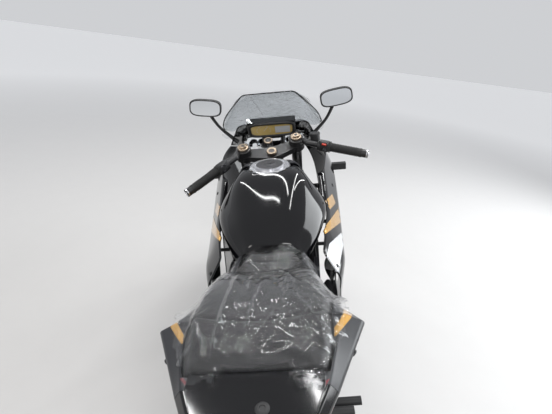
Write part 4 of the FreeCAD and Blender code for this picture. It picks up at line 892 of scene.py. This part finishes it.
def mirror_pieces():
    shells, glass, stems = bmesh.new(), bmesh.new(), bmesh.new()
    tip = Matrix.Translation((280, 625, 1090)) @ Matrix.Rotation(math.radians(-8), 4, "Y")

    def ring(y, half_x, half_z):
        return [tip @ p for p in oval((0, y, 0), half_x, half_z, 3.4, 40)]
    loft(shells, [ring(-17, 63, 31), ring(-20, 63.5, 31.5), ring(-20.5, 67, 34.5), ring(-14, 69, 37), ring(2, 68, 36),
                  ring(14, 60, 30), ring(20, 46, 22), ring(22.5, 24, 11)])
    loft(glass, [ring(-17.2, 62.5, 30.5), ring(-18.4, 62.5, 30.5)])
    swept(stems, [(165, 660, 915), (200, 660, 948), (238, 652, 992), (262, 638, 1040), (274, 626, 1078)],
          [13, 9.5, 8, 8.5, 12], 18, 0.8)
    for mesh in (shells, glass, stems):
        paired(mesh)
    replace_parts(piece("mirror_shells", shells, "chassis", grained), "mirrors")
    piece("mirror_glass", glass, "chassis", mirror_glass)
    piece("mirror_stems", stems, "chassis", grained)


# Tank, tail and lamps

TANK_ROWS = [
    # y, then x, z and corner radius from the bottom up
    (322, [(60, 836, 12), (96, 866, 18), (60, 930, 20)]),
    (220, [(96, 765, 20), (162, 838, 30), (82, 964, 30)]),
    (100, [(100, 750, 20), (196, 838, 34), (96, 966, 36)]),
    (-20, [(100, 745, 20), (166, 826, 30), (76, 908, 30)]),
    (-112, [(84, 748, 14), (106, 786, 18), (56, 836, 16)]),
]


def section(y, half):
    """Places round one upright section: the middles of its corners' arcs and of its sides."""
    corners = [(Vector((x, y, z)), r) for x, z, r in half] + [(Vector((-x, y, z)), r) for x, z, r in reversed(half)]
    points = []
    for index, (point, radius) in enumerate(corners):
        following = corners[(index + 1) % len(corners)][0]
        before, after = (corners[index - 1][0] - point).normalized(), (following - point).normalized()
        reach = radius * 1.5 / math.sin(before.angle(after) / 2) - radius * 1.5
        points.append(point + (before + after).normalized() * reach)
        points.append((point + following) / 2)
    crown = max(range(len(points)), key=lambda k: points[k].z - abs(points[k].x) * 10)
    points[crown] = points[crown] + Vector((0, 0, 2.5))
    return points


def smooth_tank():
    """The tank's painted skin, with crowned sides and the well of its filler."""
    lines = [smooth_path(line, 14) for line in zip(*[section(y, half) for y, half in TANK_ROWS])]
    rings = []
    for places in zip(*lines):
        ring = round_curve(list(places), 7)
        for point in ring:
            if math.hypot(point.x, point.y - FILLER[1]) < 69 and point.z > 940:
                point.z = 952.0
        rings.append(ring)
    mesh = bmesh.new()
    loft(mesh, rings)
    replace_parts(piece("tank_skin", mesh, "chassis", paint, smooth=60.0), "fuel_tank")


def nose_liner():
    """Black splash panel that closes the nose above the front wheel."""
    walls = surface([nodes["side_fairing_right"], nodes["nose_cowl"]])
    right = []
    for y, z in ((828, 836), (790, 799), (740, 752), (700, 716), (660, 679), (640, 664)):
        found = on_panel(walls, (0, y, z), (1, 0, 0))
        if found:
            right.append(Vector((found[0].x - 0.4, y, z)))
    mesh = bmesh.new()
    slab(mesh, right + [Vector((-p.x, p.y, p.z)) for p in reversed(right)], (0, -0.69, 0.72), 2.5)
    piece("nose_liner", mesh, "chassis", grained)


def filler_details():
    rim, bolts, flap = bmesh.new(), bmesh.new(), bmesh.new()
    up = Vector((0, 0, 1))
    turned(rim, (*FILLER, 966), up, [(-10, 70.5), (0.5, 71.5), (2.5, 70.5), (3.2, 66), (3.2, 61), (0, 60)], 72)
    for k in range(7):
        angle = 2 * math.pi * (k + 0.5) / 7
        bolt(bolts, (55.5 * math.cos(angle), FILLER[1] + 55.5 * math.sin(angle), 966.4), up, 3.4, 2.4)
    turned(flap, (*FILLER, 974.4), up, [(-2, 46), (0.6, 45), (1.6, 40), (1.0, 22), (2.6, 20), (3.6, 16)], 56)
    slab(flap, [(-6, 168, 977.5), (6, 168, 977.5), (9, 190, 977.5), (-9, 190, 977.5)], up, 2.4)
    piece("filler_rim", rim, "chassis", bright)
    piece("filler_bolts", bolts, "chassis", steel)
    piece("filler_flap", flap, "filler_cap", cast)


def body_fasteners():
    sides = surface([nodes["side_fairing_right"], nodes["tail_cowl_right"], nodes["belly_pan"]])
    mesh = bmesh.new()
    for y, z in ((560, 640), (452, 400), (90, 640), (-112, 752), (330, 812), (-330, 800), (-560, 900), (240, 240),
                 (40, 240)):
        found = on_panel(sides, (400, y, z), (-1, 0, 0))
        if found:
            bolt(mesh, *found, 6.5, 2.6)
    paired(mesh)
    piece("panel_bolts", mesh, "chassis", powder)
    screen = surface([nodes["windscreen"]])
    screws = bmesh.new()
    for x, z in ((60, 985), (150, 965)):
        found = on_panel(screen, (x, 1200, z), (0, -1, 0))
        if found:
            bolt(screws, *found, 6.0, 2.6)
    paired(screws)
    piece("screen_screws", screws, "chassis", powder)


def tail_trim():
    mesh = bmesh.new()
    outline = [(-104, -612), (104, -612), (106, -640), (78, -706), (-78, -706), (-106, -640)]
    slab(mesh, [(x, y, 930.3 + min(0.0, (y + 640) * 0.027)) for x, y in outline], (0, 0, 1), 1.8)
    bevelled(piece("seat_rear_trim", mesh, "chassis", paint), 0.001)
    lock = bmesh.new()
    turned(lock, (14, -676, 928), (0, 0, 1), [(0, 11), (4, 11), (5.5, 9), (5.5, 5), (4.5, 4.5)], 28)
    piece("seat_lock", lock, "chassis", grained)


def lamps():
    bowls, bulbs = bmesh.new(), bmesh.new()
    way = Vector((0.28, 0.92, 0.05)).normalized()
    for x, y, z, size in ((66, 806, 846, 27), (104, 770, 862, 22)):
        centre = Vector((x, y, z))
        turned(bowls, centre, way, [(0, size * 0.3), (6, size * 0.7), (16, size), (18, size * 1.08), (12, size * 1.08),
                                    (-4, size * 0.5)], 36)
        turned(bulbs, centre + way * 2, way,
               [(0, size * 0.5), (8, size * 0.52), (12, size * 0.4), (14, size * 0.2)], 28)
    paired(bowls)
    paired(bulbs)
    piece("lamp_bowls", bowls, "chassis", mirror_glass)
    piece("lamp_projectors", bulbs, "chassis", white_trim)
    mesh = bmesh.new()
    slab(mesh, [(123, -920, 705), (182, -920, 705), (182, -920, 727), (123, -920, 727)], (0, 1, 0), 3)
    slab(mesh, [(260, 653, 758), (318, 653, 758), (318, 653, 782), (260, 653, 782)], (0, -1, 0), 3)
    paired(mesh)
    bevelled(piece("signal_lenses", mesh, "chassis", amber), 0.002)


# Running gear

# Drill holes of the brake discs, drawn as black plugs through the disc: painted shade, the discs are not cut through.
def disc_holes():
    for name, body, xs, centre, radii, matrix in (
            ("front_disc_holes", "front_wheel", (-66, 66), WHEEL_AXLE["front"], (127, 136, 144), STEERED),
            ("rear_disc_holes", "rear_wheel", (70,), WHEEL_AXLE["rear"], (90, 97, 104), MACHINE)):
        mesh = bmesh.new()
        for x in xs:
            for k in range(40):
                angle = 2 * math.pi * k / 40
                radius = radii[k % 3]
                at = Vector((x - 2.45, centre[0] + radius * math.sin(angle), centre[1] + radius * math.cos(angle)))
                turned(mesh, at, (1, 0, 0), [(0, 3.0), (4.9, 3.0)], 12)
        piece(name, mesh, body, hole_painted_shade, matrix, smooth=None)


def shock_spring():
    coil, body = bmesh.new(), bmesh.new()
    turns, sides = 8, 18
    along = (SHOCK_TOP - SHOCK_FOOT).normalized()
    first, second = basis(along)
    length = (SHOCK_TOP - SHOCK_FOOT).length - 66
    path = []
    for k in range(turns * sides + 1):
        angle = 2 * math.pi * k / sides
        out = first * math.cos(angle) + second * math.sin(angle)
        path.append(SHOCK_FOOT + along * (32 + length * k / (turns * sides)) + out * 31)
    swept(coil, path, 5.2, 10, steps=1)
    turned(body, SHOCK_FOOT, along, [(24, 20), (25, 36), (31, 36), (32, 21), (90, 21), (91, 14), (180, 14), (181, 24),
                                     (206, 24), (207, 36), (215, 36), (216, 20)], 32)
    for centre in (SHOCK_TOP, SHOCK_FOOT):
        turned(body, centre - Vector((26, 0, 0)), (1, 0, 0), [(0, 13), (1, 14), (51, 14), (52, 13)], 28)
        turned(body, centre - along * 22, along, [(0, 11), (44, 11)], 24)
    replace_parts(piece("shock_coil", coil, "chassis", powder), "shock_absorber")
    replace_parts(piece("shock_body", body, "chassis", cast), "shock_absorber")


def engine_details():
    mesh = bmesh.new()
    for x, centre, radius, count, way in ((150, CLUTCH_COVER, 75, 9, 1), (-146, GENERATOR_COVER, 63, 8, -1)):
        for k in range(count):
            angle = 2 * math.pi * k / count
            at = (x, centre[0] + radius * math.cos(angle), centre[1] + radius * math.sin(angle))
            bolt(mesh, at, (way, 0, 0), 5.0, 5.0)
        rows = [(-1, radius - 14), (3, radius - 15), (3, radius - 20), (0, radius - 21)]
        turned(mesh, (x, *centre), (way, 0, 0), rows, 48)
        turned(mesh, (x, *centre), (way, 0, 0), [(-1, 18), (4, 18), (5, 15), (5, 9), (3, 9)], 32)
    for y, z in ((150, 430), (205, 412), (270, 340), (250, 262)):
        for side in (-1, 1):
            bolt(mesh, (side * 128, y - 14, z - 8), (side, 0, 0), 4.5, 4.5)
    for side in (-1, 1):
        bolt(mesh, (side * 142, -165, 388), (side, 0, 0), 11, 5)
        for y, z in ((-80, 262), (-90, 600)):
            bolt(mesh, (side * 134, y, z), (side, 0, 0), 8, 6)
    piece("casing_bolts", mesh, "chassis", steel)
    calipers = bmesh.new()
    turn, (axle_y, axle_z) = math.radians(62), WHEEL_AXLE["front"]
    for side in (-1, 1):
        for reach in (105, 150):
            at = (side * 92, axle_y - reach * math.sin(turn), axle_z + reach * math.cos(turn))
            bolt(calipers, at, (side, 0, 0), 6, 5)
    piece("caliper_bolts", calipers, "steering", steel, STEERED)
    adjust = bmesh.new()
    for side in (-1, 1):
        outline = [(side * 142, y, z) for y, z in ((-748, 290), (-748, 334), (-735, 341), (-676, 341), (-668, 334),
                                                   (-668, 298), (-676, 290))]
        slab(adjust, outline, (side, 0, 0), 3)
        turned(adjust, (side * 153, *WHEEL_AXLE["rear"]), (side, 0, 0), [(0, 16), (9, 16), (11, 14)], 6)
        turned(adjust, (side * 130, -750, 312), (0, -1, 0), [(0, 4), (16, 4), (16, 7), (22, 7)], 6)
    piece("chain_adjusters", adjust, "chassis", bright)


def silencer_details():
    start, end = SILENCER_START, SILENCER_END
    along = (end - start).normalized()
    shield, rings = bmesh.new(), bmesh.new()
    out = Vector((1, 0, 0.25))
    out = (out - along * out.dot(along)).normalized()
    up = along.cross(out)
    path = []
    for run, grow in ((96, 0.9), (104, 1.0), (230, 1.0), (262, 0.8)):
        arc = []
        for radius, turns in ((54.5, range(-9, 10)), (51.5, range(9, -10, -1))):
            for angle in (math.radians(k * 8.0 * grow) for k in turns):
                arc.append(start + along * run + (out * math.cos(angle) + up * math.sin(angle)) * radius)
        path.append(arc)
    loft(shield, path)
    turned(rings, end, along, [(-14, 50.5), (-13, 52), (-4, 52), (1, 49), (1, 42)], 56)
    turned(rings, end + along * 26, along, [(-4, 40.6), (0.5, 41), (2, 38), (2, 31), (-6, 30.2)], 48)
    turned(rings, start + along * 112, along, [(-7, 50.3), (-6, 51.8), (6, 51.8), (7, 50.3)], 56)
    piece("silencer_shield", shield, "chassis", satin)
    piece("silencer_rings", rings, "chassis", silencer_black)


camera()
floor()
studio()

# Running gear
tread_tyre("front_tyre_tread", "front", "front_wheel")
tread_tyre("rear_tyre_tread", "rear", "rear_wheel")
chain()
disc_holes()
shock_spring()
engine_details()
silencer_details()

# Handlebars, instrument and mirrors
grips()
hand_control_pieces()
fork_tops()
instrument_face()
mirror_pieces()

# Bodywork
smooth_tank()
nose_liner()
filler_details()
body_fasteners()
lamps()
tail_trim()

# Stripes, with outlines in the photograph's frame
TAIL = ["tail_cowl_left", "tail_cowl_right", "tail_centre_panel"]
FLANK = ["side_fairing_right", "fuel_tank", "main_frame"]
stripe("lamp_line_right", [(329.7, 378.7), (327, 384), (315, 400), (304, 407), (300, 413), (286, 413), (286, 405),
                           (298.7, 401)], TAIL, red_lens, pair=False)
stripe("lamp_line_left", [(180, 379), (183, 378), (203, 405), (200, 406.5)], TAIL, red_lens, pair=False)
stripe("gold_stripe_upper", [(325, 201), (332, 194), (335.5, 203), (330, 209.5)], FLANK, gold)
stripe("gold_stripe_lower", [(339.8, 206), (345, 213), (344.4, 219.3), (320.5, 238), (324, 228.4)], FLANK,
       gold)
# white stripe on the right flank only: partly a stripe, partly a painted reflection of the window light on that side,
# so it has no left copy
stripe("pale_stripe_painted_reflection", [(329, 244), (346.5, 227.7), (338, 272), (325, 268.4)], FLANK, white_trim,
       pair=False)
stripe("gold_tail_strip", [(344, 304), (354, 309), (351, 318), (330, 343), (317, 352), (316, 347), (331, 333),
                           (343, 315)], TAIL, gold)

# Seats under clear film
rider = soft_seat("rider_seat_cover", "rider_seat", [(-165, 12), (-240, 14)])
passenger = soft_seat("passenger_seat_cover", "passenger_seat", [(-372, 16), (-520, 16)])
# Each crease: its wide end and its narrow end in the photograph's frame, then half its width and its height in mm.
# Folds and edge folds: size, stretch along the sheet and height in mm.
film_sheet("seat_film_sheet", "seat_film", (0, 0, 1050), (1, 0, 0), (0, 1, 0), (0, 0, -1),
           [(-66, -112), (66, -112), (116, -190), (134, -290), (158, -380), (164, -470), (146, -560), (104, -636),
            (0, -650), (-104, -636), (-146, -560), (-164, -470), (-158, -380), (-134, -290), (-116, -190)],
           [rider, passenger, nodes["tail_cowl_left"], nodes["tail_cowl_right"], nodes["fuel_tank"]],
           [(240, 278, 212, 363, 15, 8), (250, 292, 262, 267, 9, 5), (262, 267, 300, 289, 12, 7),
            (284, 281, 287, 308, 12, 7), (290, 295, 317, 328, 14, 7), (304, 286, 332, 321, 13, 6),
            (266, 283, 244, 340, 12, 5), (276, 318, 262, 334, 8, 5), (256, 330, 259, 346, 7, 4),
            (206, 300, 188, 340, 12, 5), (232, 318, 226, 350, 9, 4), (293, 262, 312, 275, 10, 5)],
           [(70, 2.0, 3.5), (30, 1.6, 1.6), (11, 1.0, 0.7)], [(26, 1.0, 8.0), (13, 1.0, 4.5)])
film_sheet("screen_film_sheet", "screen_film", (0, 760, 1010), (1, 0, 0), (0, -0.62, 0.785), (0, -0.785, -0.62),
           [(-214, -70), (214, -70), (238, 10), (205, 90), (160, 160), (96, 214), (0, 232), (-96, 214), (-160, 160),
            (-205, 90), (-238, 10)],
           [nodes["windscreen"], nodes["nose_cowl"]],
           [(236, 104, 222, 132, 14, 9), (246, 98, 262, 118, 12, 8), (228, 122, 252, 128, 12, 7),
            (300, 100, 318, 122, 13, 8), (284, 96, 290, 116, 11, 6)],
           [(60, 1.5, 5.0), (28, 1.0, 3.0), (13, 1.0, 1.5)], [(26, 1.0, 9.0), (12, 1.0, 4.0)])
